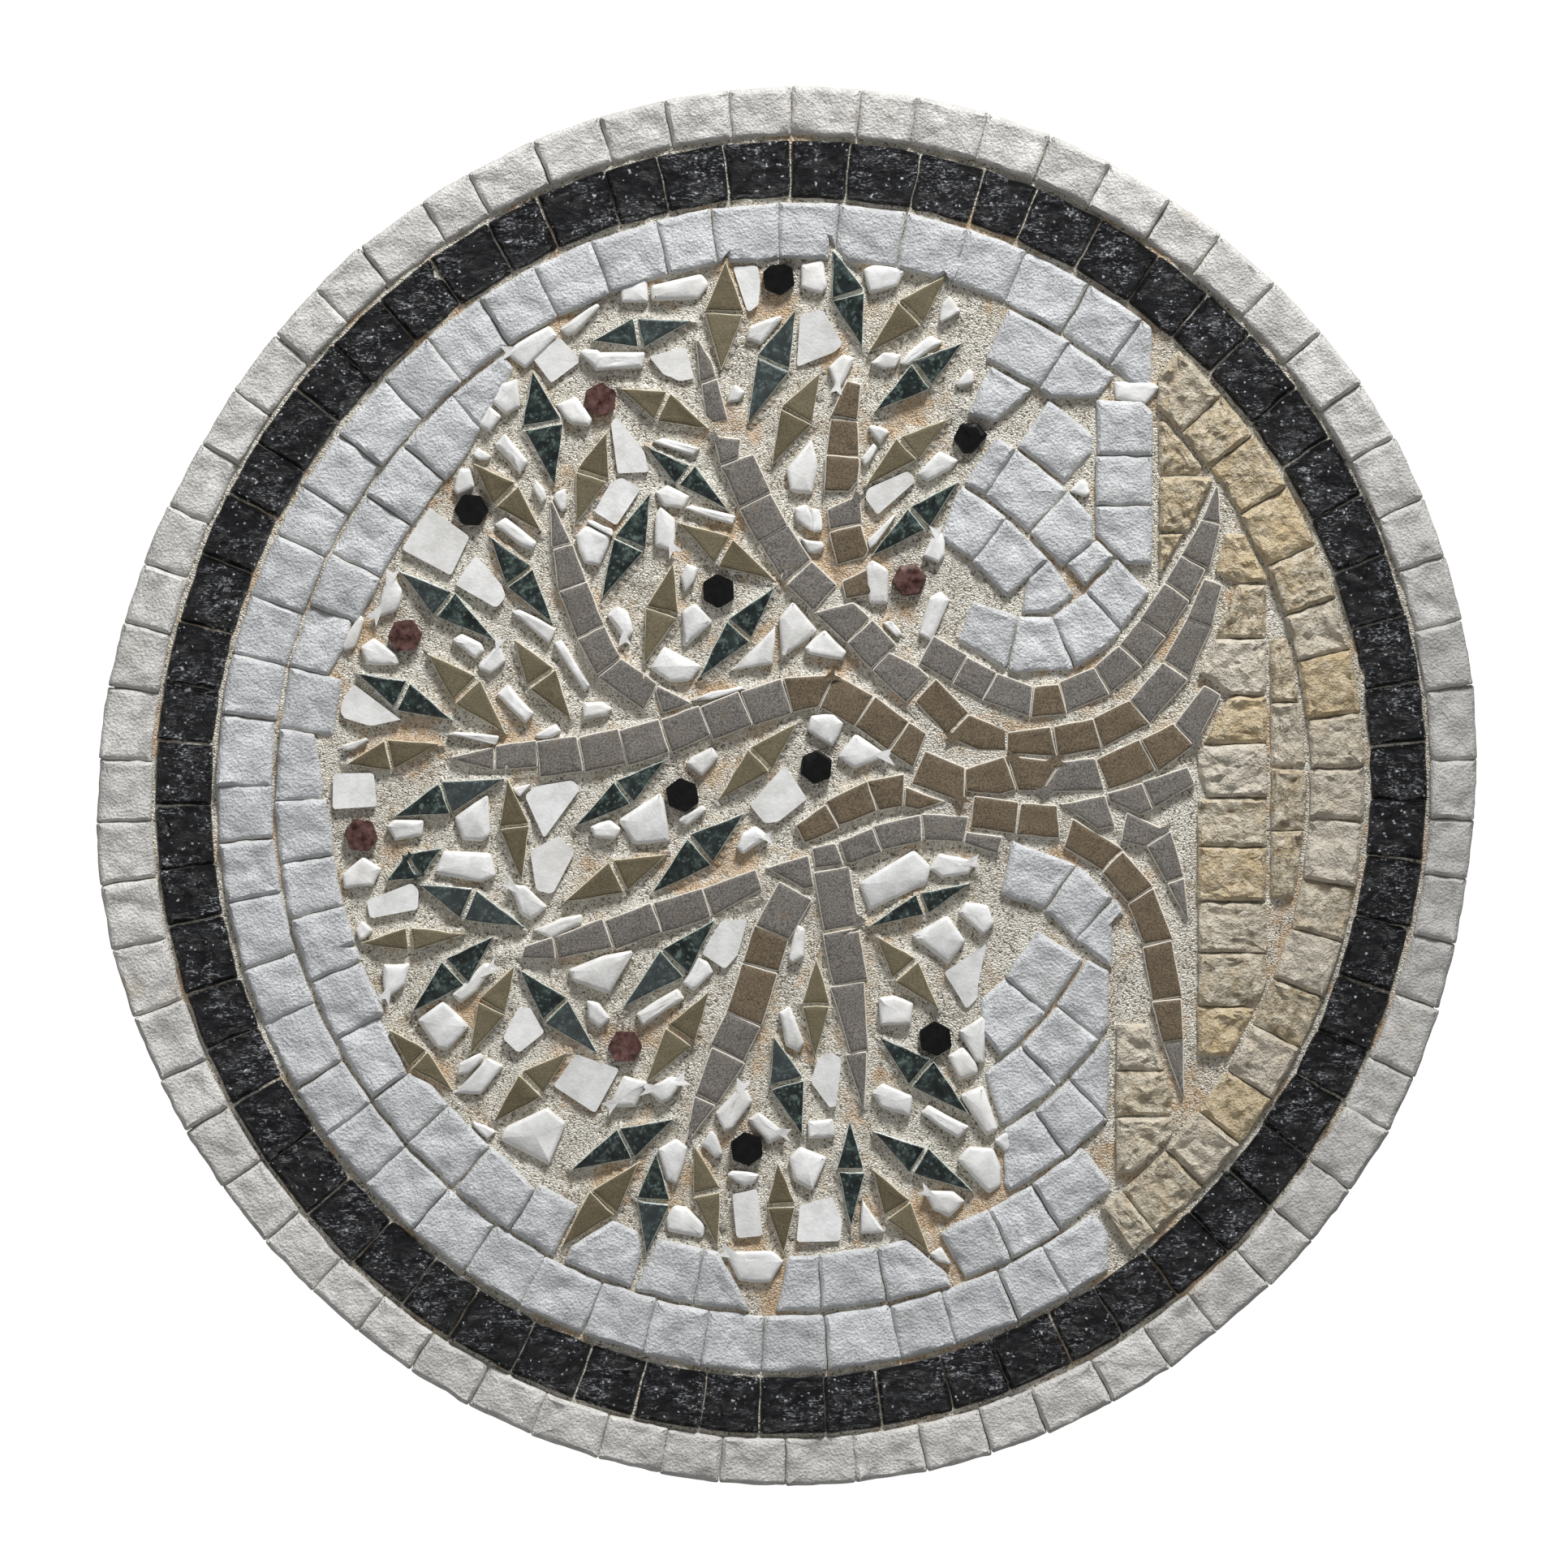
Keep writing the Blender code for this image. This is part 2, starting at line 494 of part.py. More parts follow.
def stepped_mesh(regions, base):
    """One closed body whose top steps between the regions' depths; the highest rank wins.

    A region with no depth leaves an opening.
    """
    cells = Cells(regions)
    for _ in range(PINCH_ROUNDS):
        regions = regions + cells.pinches(base)
        cells = Cells(regions)

    bm = bmesh.new()
    made = {}

    def vertex(v, depth):
        if (v, depth) not in made:
            made[(v, depth)] = bm.verts.new((cells.flat[v][0], -depth, cells.flat[v][1]))
        return made[(v, depth)]

    def climb(v, low, high):
        return [vertex(v, d) for d in sorted(cells.levels(v) | {base}) if low <= d <= high]

    for n, (cell, _) in enumerate(cells.pairs):
        bm.faces.new([vertex(v, cells.depth(n, v)) for v in cell])
        bm.faces.new([vertex(v, base) for v in reversed(cell)])
    for (a, b), n in cells.edges.items():
        beside = cells.edges.get((b, a))
        low_a, low_b = (base if beside is None else cells.depth(beside, v) for v in (a, b))
        high_a, high_b = cells.depth(n, a), cells.depth(n, b)
        if high_a > low_a or high_b > low_b:
            ring = climb(a, low_a, high_a)[::-1] + climb(b, low_b, high_b)
            bm.faces.new(list(dict.fromkeys(ring)))
    bm.normal_update()
    bmesh.ops.dissolve_limit(bm, angle_limit=FLATNESS, verts=bm.verts, edges=bm.edges)
    return bm


def leaf_mesh(leaf):
    """A leaf of two stones with a notch across its middle."""
    halves, outline = leaf_halves(leaf)
    base = POCKET_FLOOR + FIT_GAP
    top = STONE_FACE + rng.uniform(-UNEVEN, UNEVEN)
    bm = bmesh.new()

    def vertex(point, depth):
        return bm.verts.new((point[0], -depth, point[1]))

    low = [vertex(p, base) for p in outline]
    notch_1, notch_3 = [vertex(outline[i], CROWN_MORTAR_FACE) for i in (1, 3)]
    (tip_a, a1, a3), (tip_b, b3, b1) = ([vertex(p, top) for p in half] for half in halves)
    for ring in ((tip_a, a1, a3), (tip_b, b3, b1), (a1, notch_1, notch_3, a3), (b3, notch_3, notch_1, b1),
                 (low[0], low[1], notch_1, a1, tip_a), (low[1], low[2], tip_b, b1, notch_1),
                 (low[2], low[3], notch_3, b3, tip_b), (low[3], low[0], tip_a, a3, notch_3),
                 (low[3], low[2], low[1], low[0])):
        bm.faces.new(ring)
    return bm


def material(name, color, roughness):
    made = bpy.data.materials.new(name)
    made.use_nodes = True
    shader = made.node_tree.nodes["Principled BSDF"]
    shader.inputs["Base Color"].default_value = (*color, 1)
    shader.inputs["Roughness"].default_value = roughness
    shader.inputs["Metallic"].default_value = 0
    made.diffuse_color = (*color, 1)
    return made


def add_object(name, bm, finish):
    bmesh.ops.recalc_face_normals(bm, faces=bm.faces)
    mesh = bpy.data.meshes.new(name)
    bm.to_mesh(mesh)
    bm.free()
    mesh.materials.append(finish)
    bpy.context.collection.objects.link(bpy.data.objects.new(name, mesh))


def set_stones(stones, laid, smallest):
    """Cuts each stone of a course back from what is already laid; slivers are left out."""
    kept = []
    for stone in stones:
        whole = area(stone)
        for others, gap in laid:
            for other in others:
                stone = keep_off(stone, other, gap)
        if len(stone) > 2 and area(stone) > smallest * whole and narrowest(stone) > SLIVER:
            kept.append(without_short_edges(stone, JOINT))
    return kept


def ring_radius():
    """Outer radius of the white field and the ground, inside the black course."""
    return PANEL_RADIUS - RIM_COURSE - BLACK_COURSE - 2 * COURSE_JOINT


def ground_area(grown=0.0):
    """The whole ground under its two level lines, with a dip where the roots spread."""
    ring = ring_radius() - (0 if grown else UNDER_STONES)
    steps = np.linspace(WHITE_RING_TO, WHITE_RING_FROM + 2 * math.pi, GROUND_ARC_STEPS)
    arc = [stretched(ring, a) for a in steps[1:-1]]
    left, right, dip = drawn((GROUND_LINE_LEFT, GROUND_LINE_RIGHT, GROUND_ROW_TOP)) + (grown, grown, 0)
    dip_left, dip_right = drawn(GROUND_DIP)
    slope_left, slope_right = drawn(GROUND_DIP_SIDES)
    left_end = (-math.sqrt(ring ** 2 - left ** 2), left)
    right_end = (math.sqrt(ring ** 2 - right ** 2), right)
    return counter_clockwise([left_end] + arc + [right_end, (dip_right, right), (dip_right - slope_right, dip),
                                                 (dip_left + slope_left, dip), (dip_left, left)])


def lay_out():
    """The outlines of every stone, by the piece that it belongs to."""
    leaves = [half for leaf in GREEN_LEAVES + TAN_LEAVES for half in leaf_halves(leaf)[0]]
    olives = [np.array([(x + OLIVE_RADIUS * math.cos(a), z + OLIVE_RADIUS * math.sin(a))
                        for a in np.arange(OLIVE_SIDES) * 2 * math.pi / OLIVE_SIDES + rng.uniform(0, 1)])
              for x, z in drawn(OLIVES)]
    figure = leaves + olives

    tree = []
    for run in TREE_RUNS[::-1]:
        tree += set_stones(run_of_stones(run), ((figure, COURSE_JOINT), (list(tree), JOINT)), 0.3)

    ring_out = ring_radius()
    ring_in = ring_out - FIELD_COURSE
    left_line, right_line, row_top = drawn((GROUND_LINE_LEFT, GROUND_LINE_RIGHT, GROUND_ROW_TOP))
    near_ground = [counter_clockwise(((x, -2 * ring_out), (0, -2 * ring_out), (0, line), (x, line)))
                   for x, line in ((-ring_out, left_line), (ring_out, right_line))]
    field = set_stones(course_of_stones(WHITE_RING_FROM, WHITE_RING_TO, ring_in, ring_out, FIELD_PITCH),
                       ((near_ground, COURSE_JOINT),), 0.2)
    ground = set_stones(course_of_stones(WHITE_RING_TO - GROUND_LAP, WHITE_RING_FROM + 2 * math.pi + GROUND_LAP,
                                         ring_in, ring_out, GROUND_PITCH), ((field, COURSE_JOINT),), 0.2)
    crown = counter_clockwise(drawn(CROWN_OUTLINE))
    middle = drawn(CROWN_MIDDLE)
    in_crown = [counter_clockwise((middle, a, b)) for a, b in zip(crown, np.roll(crown, -1, axis=0))]
    right_row = row_of_stones(*drawn(RIGHT_ROW), FIELD_PITCH)
    for course in [run_of_stones(run) for run in HUGGING_RUNS] + [right_row]:
        field += set_stones(course, ((in_crown, WEB_GAP), (tree, COURSE_JOINT), (figure, CHIP_JOINT),
                                     (list(field), JOINT), (ground, COURSE_JOINT)), 0.4)
    for n in range(1, round(FIELD_REACH * ring_out / (FIELD_COURSE + JOINT))):
        outer = ring_out - n * (FIELD_COURSE + JOINT)
        for start, end in ((CROWN_REACHES_RING[1], FIELD_ENDS[1]), (FIELD_ENDS[0], CROWN_REACHES_RING[0])):
            course = course_of_stones(start, end, outer - FIELD_COURSE, outer, FIELD_PITCH)
            course = [s for s in course if not inside(np.mean(s, axis=0), crown)
                      and not any(inside(np.mean(s, axis=0), g) for g in near_ground)]
            field += set_stones(course, ((in_crown, WEB_GAP), (tree, COURSE_JOINT), (figure, CHIP_JOINT),
                                         (list(field), JOINT), (ground + near_ground, COURSE_JOINT)), 0.3)

    side_low, left_low = right_line - GROUND_SIDE_ROW, left_line - GROUND_SIDE_ROW
    row_low = row_top - GROUND_ROW_DEPTH
    levels = ((row_low, row_top, GROUND_PITCH), (side_low, right_line, GROUND_PITCH),
              (left_low, left_line, GROUND_SHORT_PITCH),
              (side_low - GROUND_SIDE_ROW, side_low - JOINT, GROUND_PITCH),
              (left_low - GROUND_SIDE_ROW, left_low - JOINT, GROUND_PITCH),
              (row_low - GROUND_LAST_ROW, row_low - JOINT, GROUND_LONG_PITCH),
              (row_top + JOINT, right_line, GROUND_SMALL_PITCH))
    for ends, level in zip(drawn(GROUND_ROWS), levels):
        ground += set_stones(row_of_stones(*ends, *level),
                             ((tree + field, COURSE_JOINT), (list(ground), JOINT)), 0.22)

    chips = []
    for corners in CHIPS:
        chips += set_stones([drawn(corners)], ((figure + tree + field + ground, CHIP_JOINT),
                                               (list(chips), CHIP_GAP)), 0.3)
    return tree, field, ground, chips, olives


def build():
    for old in list(bpy.data.objects):
        bpy.data.objects.remove(old)

    mortar = material("sandy lime mortar", (0.62, 0.56, 0.46), 0.95)
    white = material("white split marble", (0.72, 0.73, 0.74), 0.75)
    black = material("black split stone", (0.02, 0.02, 0.024), 0.45)
    sand = material("yellow split limestone", (0.58, 0.47, 0.31), 0.9)
    bark = material("grey and brown sandstone", (0.16, 0.13, 0.10), 0.85)
    green = material("green marble", (0.035, 0.07, 0.055), 0.35)
    tan = material("olive brown sandstone", (0.20, 0.17, 0.09), 0.8)

    tree, field, ground, chips, olives = lay_out()
    on_bed = BED_THICKNESS + FIT_GAP
    crown = counter_clockwise(drawn(CROWN_OUTLINE))
    leaf_outlines = [leaf_halves(leaf)[1] for leaf in GREEN_LEAVES + TAN_LEAVES]
    trunk = counter_clockwise(drawn(TRUNK_OUTLINE))

    rim_in = PANEL_RADIUS - RIM_COURSE
    black_out = rim_in - COURSE_JOINT
    for name, inner, outer, count, finish, outside in (
            ("outer_white_course", rim_in, PANEL_RADIUS, RIM_STONES, white, cut_rim),
            ("black_course", black_out - BLACK_COURSE, black_out, BLACK_STONES, black, None)):
        pitch = 2 * math.pi * (inner + outer) / 2 / count
        ring = course_of_stones(0, 2 * math.pi, inner, outer, pitch, outside)
        add_object(name, stepped_mesh(stone_regions(ring, STONE_FACE), on_bed), finish)

    disc = np.array([stretched(ring_radius() - UNDER_STONES, a)
                     for a in np.arange(FIELD_SIDES) * 2 * math.pi / FIELD_SIDES])
    beside_tree = [Region(strip(run, WEB_GAP), None, 3) for run in TREE_RUNS]
    beside_tree.append(Region(spread(trunk, WEB_GAP), None, 3))
    off_leaves = [Region(spread(outline, WEB_GAP), None, 4) for outline in leaf_outlines]

    regions = [Region(disc, FIELD_JOINT_FACE, 0), Region(spread(crown, WEB_GAP), None, 3)]
    regions += stone_regions(field, STONE_FACE)
    regions += [Region(outline, None, 3) for outline in
                [ground_area(WEB_GAP)] + [spread(s, WEB_GAP) for s in ground]]
    regions += beside_tree + off_leaves
    add_object("white_field", stepped_mesh(regions, on_bed), white)

    regions = [Region(ground_area(), FIELD_JOINT_FACE, 0)]
    regions += stone_regions(ground, STONE_FACE)
    add_object("ground_course", stepped_mesh(regions + beside_tree, on_bed), sand)

    regions = [Region(outline, TREE_JOINT_FACE, 0) for outline in [strip(run) for run in TREE_RUNS] + [trunk]]
    regions += stone_regions(tree, STONE_FACE)
    add_object("olive_tree", stepped_mesh(regions + off_leaves, on_bed), bark)

    bed_edge = np.array([cut_rim(a) for a in np.arange(BED_SIDES) * 2 * math.pi / BED_SIDES])
    regions = [Region(bed_edge, BED_THICKNESS, 0), Region(crown, CROWN_MORTAR_FACE, 1)]
    regions += stone_regions(chips, STONE_FACE, TILT) + stone_regions(olives, STONE_FACE + OLIVE_RISE, TILT)
    regions += [Region(outline, BED_THICKNESS, 3) for outline in
                [strip(run, WEB_GAP) for run in TREE_RUNS] + [spread(trunk, WEB_GAP)]]
    middle = drawn(CROWN_MIDDLE)
    beyond = (crown - middle) * CHIP_LIMIT + middle
    regions += [Region(np.array((a, c, d, b)), BED_THICKNESS, 3) for a, b, c, d in
                zip(crown, np.roll(crown, -1, axis=0), beyond, np.roll(beyond, -1, axis=0))]
    regions += [Region(spread(outline, FIT_GAP), POCKET_FLOOR, 5) for outline in leaf_outlines]
    add_object("mortar_bed", stepped_mesh(regions, 0.0), mortar)

    for label, leaves, finish in (("green", GREEN_LEAVES, green), ("tan", TAN_LEAVES, tan)):
        for number, leaf in enumerate(leaves, 1):
            add_object(f"leaf_{label}_{number:02d}", leaf_mesh(leaf), finish)


build()
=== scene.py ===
"""Looks of the round stone mosaic panel: split and sawn stones set in sandy mortar.

The panel stands upright in the frame with its face along -Y. The photograph shows it lying on its side,
so the camera is rolled: the picture's top is +X and its right is -Z.
"""

import math

import bmesh
import bpy
import numpy as np
from mathutils import Matrix, Vector
from mathutils.bvhtree import BVHTree


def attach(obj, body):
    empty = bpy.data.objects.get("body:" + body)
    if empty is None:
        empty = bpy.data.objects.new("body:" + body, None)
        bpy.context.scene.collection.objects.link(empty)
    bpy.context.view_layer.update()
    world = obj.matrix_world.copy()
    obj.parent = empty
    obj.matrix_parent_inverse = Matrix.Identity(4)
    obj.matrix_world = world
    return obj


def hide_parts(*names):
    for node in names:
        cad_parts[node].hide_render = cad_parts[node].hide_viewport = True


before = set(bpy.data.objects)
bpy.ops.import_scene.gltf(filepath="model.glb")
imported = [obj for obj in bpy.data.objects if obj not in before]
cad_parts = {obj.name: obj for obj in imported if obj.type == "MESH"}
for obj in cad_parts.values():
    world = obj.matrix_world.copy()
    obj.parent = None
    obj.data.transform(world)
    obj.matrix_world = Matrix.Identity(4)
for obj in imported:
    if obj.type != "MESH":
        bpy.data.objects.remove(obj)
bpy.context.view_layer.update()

MM = 0.001
RADIUS = 115.0 * MM

# How far the mortar stands from the flat back: in the bed, in the crown between the leaves, and in the joints
# of the white and yellow stones, of the black course, and of the tree and the leaves
BED = 7.2 * MM
CROWN_LEVEL = 13.4 * MM
JOINT_LEVEL = 13.8 * MM
COURSE_JOINT_LEVEL = 14.0 * MM
FULL_JOINT_LEVEL = 14.2 * MM

# The solid mortar's own level lies between these in a leaf's pocket, below them under the courses, and above
# them in the crown
POCKET_LOW = 8 * MM
POCKET_HIGH = 9 * MM

# How far the slab and the mortar in the joints go out, as shares of the rim's radius, and the squares of
# the latter each way and its thickness
SLAB_REACH = 0.997
FILL_REACH = 0.993
FILL_SQUARES = 310
FILL_DEPTH = 6 * MM
IN_FRONT = 50 * MM

# What the flat tops of a node stand above, in millimetres: round courses and chips, other stones, olives
COURSE_TOPS = 14.2
STONE_TOPS = 14.3
OLIVE_TOPS = 15.05
SMALL_CHIP_TOP = 14.8

# Stones that are narrow for their rounded edge get less of it: half widths from and to, in widths of the
# edge, and the share of its width that they get
NARROW_STONES = ((0, 1.6, 0.25), (1.6, 2.4, 0.55), (2.4, math.inf, 1.0))

# How much of the break of a face reaches down its edge: a weight, and from and to in shares of the edge
BREAK_WEIGHTS = ((1.0, -1, 0.05), (0.6, 0.05, 0.6), (0.15, 0.6, 2))

# The most that a stone is lifted or sunk at a corner by its slope
MOST_TILT = 0.6 * MM

# The middles (x, z) of the reddish brown olives in millimetres, and how near to one a face belongs to it
BROWN_OLIVES = ((64.3, 31.6), (25.2, 64), (-8, 71.3), (-43, 27.5), (34.3, -19.6))
OLIVE_REACH = 4

# Places (x, z, radius) in millimetres where the tree is of brown stone; the rest of it is grey
BROWN_PLACES = (
    (55, -8.5, 9.5), (37, -9, 4.5), (16, -7, 6), (13, -14, 5), (7, -20, 5), (13, -25, 5), (0, -18, 4),
    (-3, -12, 4), (-6, -6, 4), (-25, 3.8, 4.5), (-33, 6.5, 4.5), (0.7, -25, 5), (13, -27, 4.5),
    (6, -30, 6), (3, -39, 5), (-4, -37, 5), (-8, -47, 5.5), (-15, -55, 4.5), (-21, -60, 4),
    (-29, -61.5, 4.5), (-38, -62.5, 4.5), (13.5, -40, 3.5), (9, -46, 4), (10, -55, 4), (4, -58, 4),
    (8, -64, 4))

# The corners (x, z) in millimetres of each small chip of the crown that the solids leave out; the last 28
# are pieces of white marble at the edge of the crown and between the limbs
SMALL_CHIPS = (
    ((-39.5, -14.8), (-39.4, -20), (-35.9, -20.4), (-34.5, -17), (-34.8, -14.6)),
    ((24, -23.3), (31.1, -26.5), (32.6, -24.9), (31.5, -22.8), (25.4, -21.2)),
    ((-66, 18.8), (-59.7, 17.1), (-58.3, 19), (-60, 22.1), (-65.3, 20.6)),
    ((69, 32.5), (69.7, 24.4), (72.2, 24.1), (72, 33.1)),
    ((-57, 11.1), (-56.4, 9.6), (-52.1, 6.4), (-49, 7.8), (-54.1, 12.5)),
    ((-50.9, 51.4), (-46.3, 47.6), (-44.7, 50.3), (-50.8, 55.9)),
    ((36.1, -16.1), (37.8, -13.5), (36.4, -12.3), (30.5, -12.9), (30.5, -16.2)),
    ((81.8, -13), (83.1, -17.7), (85.8, -19.1), (86.7, -14), (85.8, -12)),
    ((-50.8, -13.3), (-53.1, -14.9), (-54.6, -19.8), (-51.3, -20.3), (-49.1, -15.2)),
    ((-11.4, 71.1), (-14.5, 74.4), (-16.8, 74), (-16.4, 69.3), (-13.7, 67.9)),
    ((11.9, -3.2), (9.3, -2.6), (6.8, -6.8), (10.5, -8.9), (12.3, -7.1)),
    ((-53.1, 30.3), (-53, 25.7), (-48.7, 23.7), (-47.8, 27.9)), ((20.4, 3), (26.7, 2.5), (19.5, 10)),
    ((-40.4, -27.9), (-45.5, -30.5), (-45.8, -32.2), (-38.6, -32.2), (-38.1, -31.7)),
    ((-13.6, -22.9), (-15.1, -25), (-14.2, -29.4), (-12.4, -30.9), (-10.8, -24.5)),
    ((-22.6, -33.8), (-19.5, -32.8), (-19, -29), (-20.8, -27.7), (-24.7, -31.9)),
    ((46.6, 21.6), (45.1, 22.5), (40.1, 22.6), (38.9, 19.4), (44.5, 19.2)),
    ((22.4, -9.3), (26.1, -5.6), (23.2, -2.1), (21.9, -3), (21.1, -8.6)),
    ((-70.1, -23.7), (-71.6, -26.2), (-68.6, -29.1), (-67, -27), (-66.8, -21.9)),
    ((20.3, 64.9), (22.1, 65.4), (24.9, 69.1), (23.3, 71.5), (20.3, 70.5)),
    ((-20.8, 44.9), (-22.2, 43.4), (-19.7, 40.4), (-16.4, 44.1), (-15.9, 46.9)),
    ((82.8, -1.7), (81.8, -5.1), (83, -6), (87.5, -5.3), (86.8, -1.6)),
    ((63, 44.8), (67.6, 45.5), (67, 48), (64.2, 49.9), (61.6, 47.3)),
    ((-39.7, 24.6), (-35, 17.5), (-33.3, 18.8), (-37.6, 25.8)),
    ((-43, 0.8), (-44.1, -1.4), (-42.4, -2.3), (-36.2, 0.2), (-37.3, 2.1)),
    ((33.4, 67.5), (27.9, 69.1), (29.1, 65.3), (32.6, 64.5), (35.5, 66)),
    ((-35.1, 67.5), (-32.9, 64), (-29.2, 63.3), (-29.3, 67.8)),
    ((60.3, 36.8), (59.6, 33.4), (60.9, 32.9), (64.9, 35.6), (63.6, 39.1)),
    ((51.9, -20.8), (50.7, -22.7), (52.6, -26.5), (54.3, -27.9), (55.9, -24.6)),
    ((-58.3, -27.8), (-56.3, -29.6), (-52.7, -22.8), (-54.1, -21.4)),
    ((-35.8, 54.8), (-33.7, 52), (-29.4, 49.1), (-29.1, 50.9), (-34.4, 56.3)),
    ((15.3, 49), (10.4, 44.1), (12.3, 42.6), (17.1, 47)),
    ((-47.4, -31), (-45.6, -30.7), (-42.9, -28.4), (-44.6, -25.9), (-48.6, -28)),
    ((-8, 61.3), (-5.3, 60.9), (-5.4, 66), (-6.4, 67.1), (-8.8, 65.7)),
    ((80.3, 28.2), (80.5, 23.7), (84.5, 23.8), (83.5, 28.2)),
    ((-59.3, 3.8), (-57.7, 0.6), (-53.7, 5.5), (-55, 7.1)),
    ((-47.9, 20), (-50.1, 24.3), (-52.5, 21.5), (-51.5, 19.8), (-48.4, 17.6)),
    ((40.5, 45.7), (39.2, 42.9), (40.5, 42.1), (44.9, 47.3), (43.6, 49.2)),
    ((-32.5, 18), (-34, 16.1), (-30.7, 12.8), (-29.1, 13.6), (-28.2, 15.3)),
    ((52, 44.8), (54.1, 43.6), (58.8, 47.5), (56.8, 49.2)),
    ((23.8, 40.1), (26.3, 39), (29.6, 45), (29.2, 46.5)),
    ((15.7, 34.4), (16.6, 33.2), (24.6, 38.1), (24, 39.5)),
    ((46.6, 21), (46.1, 17.9), (48.3, 16.6), (50.1, 20.6), (48.9, 22.5)),
    ((23.9, 27.4), (25.9, 26.1), (29.4, 27.2), (30.1, 28.8), (28.6, 30.5)),
    ((1.8, 14.9), (4.7, 12), (6.6, 12.9), (5, 16.6), (3.9, 17.5)),
    ((-10.2, 9.1), (-11.1, 7.9), (-8.3, 3.5), (-6.3, 6.1), (-7.7, 8.1)),
    ((24.4, 48.2), (20.7, 51.5), (19.7, 51.7), (18.6, 49.9), (20.9, 47.2)),
    ((38.3, -21.7), (37, -24.4), (38.4, -25.6), (41.6, -25.4), (42.9, -24.2)),
    ((74.6, 36.9), (75.2, 35.6), (79.8, 31.7), (80.5, 32.4), (76, 38.4)),
    ((-74.2, -11.5), (-73.9, -15.8), (-68.2, -11.8)),
    ((-29.6, -0.2), (-28, -2.4), (-23.6, -2.4), (-22.8, -1), (-28.7, 0.5)),
    ((-58.3, -2.9), (-57.9, -7.4), (-55, -7), (-55.4, -3)),
    ((-8.7, 29.2), (-6.8, 28.2), (-5.3, 30), (-6.6, 33.4), (-8.3, 32.8)),
    ((-38.5, 33.6), (-40, 31.8), (-38.3, 29.8), (-35.6, 31.9), (-35.3, 33.9)),
    ((24.1, 51.5), (25.5, 54.7), (24.4, 56.2), (21.3, 52.2), (22.8, 50.7)),
    ((11.9, 30.5), (12.9, 29.4), (14.1, 31.1), (14, 34.6), (11.2, 34.5)),
    ((22.6, 74), (23.3, 72.2), (27.6, 70.8), (28.7, 71.6), (24, 74.5)),
    ((69.3, -15.5), (69.6, -17.3), (71.7, -18.5), (72.2, -15.5), (70.4, -13.1)),
    ((59.8, 52.2), (58.9, 50), (61.4, 48), (63.4, 50.1)),
    ((43.5, 9.6), (45, 9), (46.8, 16.5), (46.2, 17.5)),
    ((55, 16.3), (56.1, 14.9), (58.1, 21.3), (57.3, 22.9)),
    ((7.1, 48.8), (8.7, 48.4), (9.2, 55.8), (8.7, 57)),
    ((44.5, -0.9), (42.4, -3.4), (43.4, -4.2), (47.1, -2.6), (46.3, -0.6)),
    ((-59.2, 14.8), (-61.7, 12.6), (-60.7, 11.2), (-57.6, 12.4), (-56.9, 13.3)),
    ((77.5, -24.6), (77, -25.1), (78.9, -28.2), (81.7, -26.3), (80.2, -25)),
    ((32.3, 17.5), (34, 15.9), (36.5, 15.3), (37.1, 17.2), (35, 18.4)),
    ((-65.9, 8.3), (-65.8, 6.1), (-64.2, 5.1), (-63.6, 9.8), (-64.4, 10.6)),
    ((69.3, 32.5), (71.2, 31), (72.4, 31.8), (72.7, 34.4), (72.2, 35)),
    ((-6.4, 17.2), (-3.8, 13.8), (-2.9, 14.6), (-4.6, 17.7), (-5.6, 18.7)),
    ((10.6, 39), (8.6, 42.5), (8, 41.9), (8.3, 39.7), (9.3, 38)),
    ((-60, -36.4), (-57.6, -36.4), (-57, -35.8), (-58.7, -33.7), (-60.6, -35.8)),
    ((-82, 8.5), (-82.2, 3.4), (-78.7, 1.1), (-76.9, 3.2), (-76.9, 11.3)),
    ((76.7, 40.2), (75.2, 43), (71.9, 47.6), (69.4, 44.1), (74.9, 38.7)),
    ((64.5, -53.7), (63.5, -59), (66.3, -61.3), (67.3, -60.1), (67.3, -53.5)),
    ((-25.1, 39.7), (-22.6, 34.7), (-21, 34.7), (-21.6, 38.2), (-23.8, 42.8)),
    ((74.2, 7.5), (73.4, 4.9), (77.7, 1.4), (78.2, 1.6), (76.5, 7)),
    ((69.6, -6), (65.8, -7.5), (66.8, -8.5), (71.1, -10.5), (71.9, -8.8)),
    ((70.1, -19.4), (73.9, -25.3), (74.9, -23.2), (73.2, -20.7), (70.4, -17.9)),
    ((48.5, 55.2), (49.8, 52.4), (52.9, 53.2), (52.9, 55), (49.3, 56)),
    ((-43.9, 51.4), (-45.7, 55), (-47.7, 55.5), (-47.2, 53.2), (-44.9, 50.9)),
    ((16.8, 8.3), (15.8, 13.3), (14.3, 16.6), (14.5, 13.1), (16.3, 7.7)),
    ((39.4, -13.1), (40.4, -14.1), (45, -17.4), (45.2, -16.9), (40.9, -12.6)),
    ((42.4, -5.2), (44.7, -5.2), (46, -4.7), (46.3, -3.2), (42.4, -3.4)),
    ((38.6, -4.2), (39.6, -5.7), (40.7, -5.5), (41.2, -1.7), (38.9, -2.9)),
    ((45.5, 38), (46, 37.2), (49.6, 37.2), (48.8, 39.2), (47.8, 39.5)),
    ((58.9, -16.4), (59.5, -15.9), (60, -13.3), (59.5, -12.6), (56.9, -14.9)),
    ((48, -48.9), (48.8, -49.7), (50.8, -49.1), (51.1, -48.1), (49, -46.3)),
    ((64, 8.5), (65.6, 7.5), (66.8, 9.3), (66.3, 9.8), (63.8, 10.8)),
    ((-76.2, -25), (-77.4, -23), (-78.7, -24.3), (-79.2, -26.3), (-78.7, -26.5)),
    ((-25.1, 70.5), (-23.8, 69.2), (-22.1, 71.2), (-23.6, 72.2), (-25.4, 71.5)),
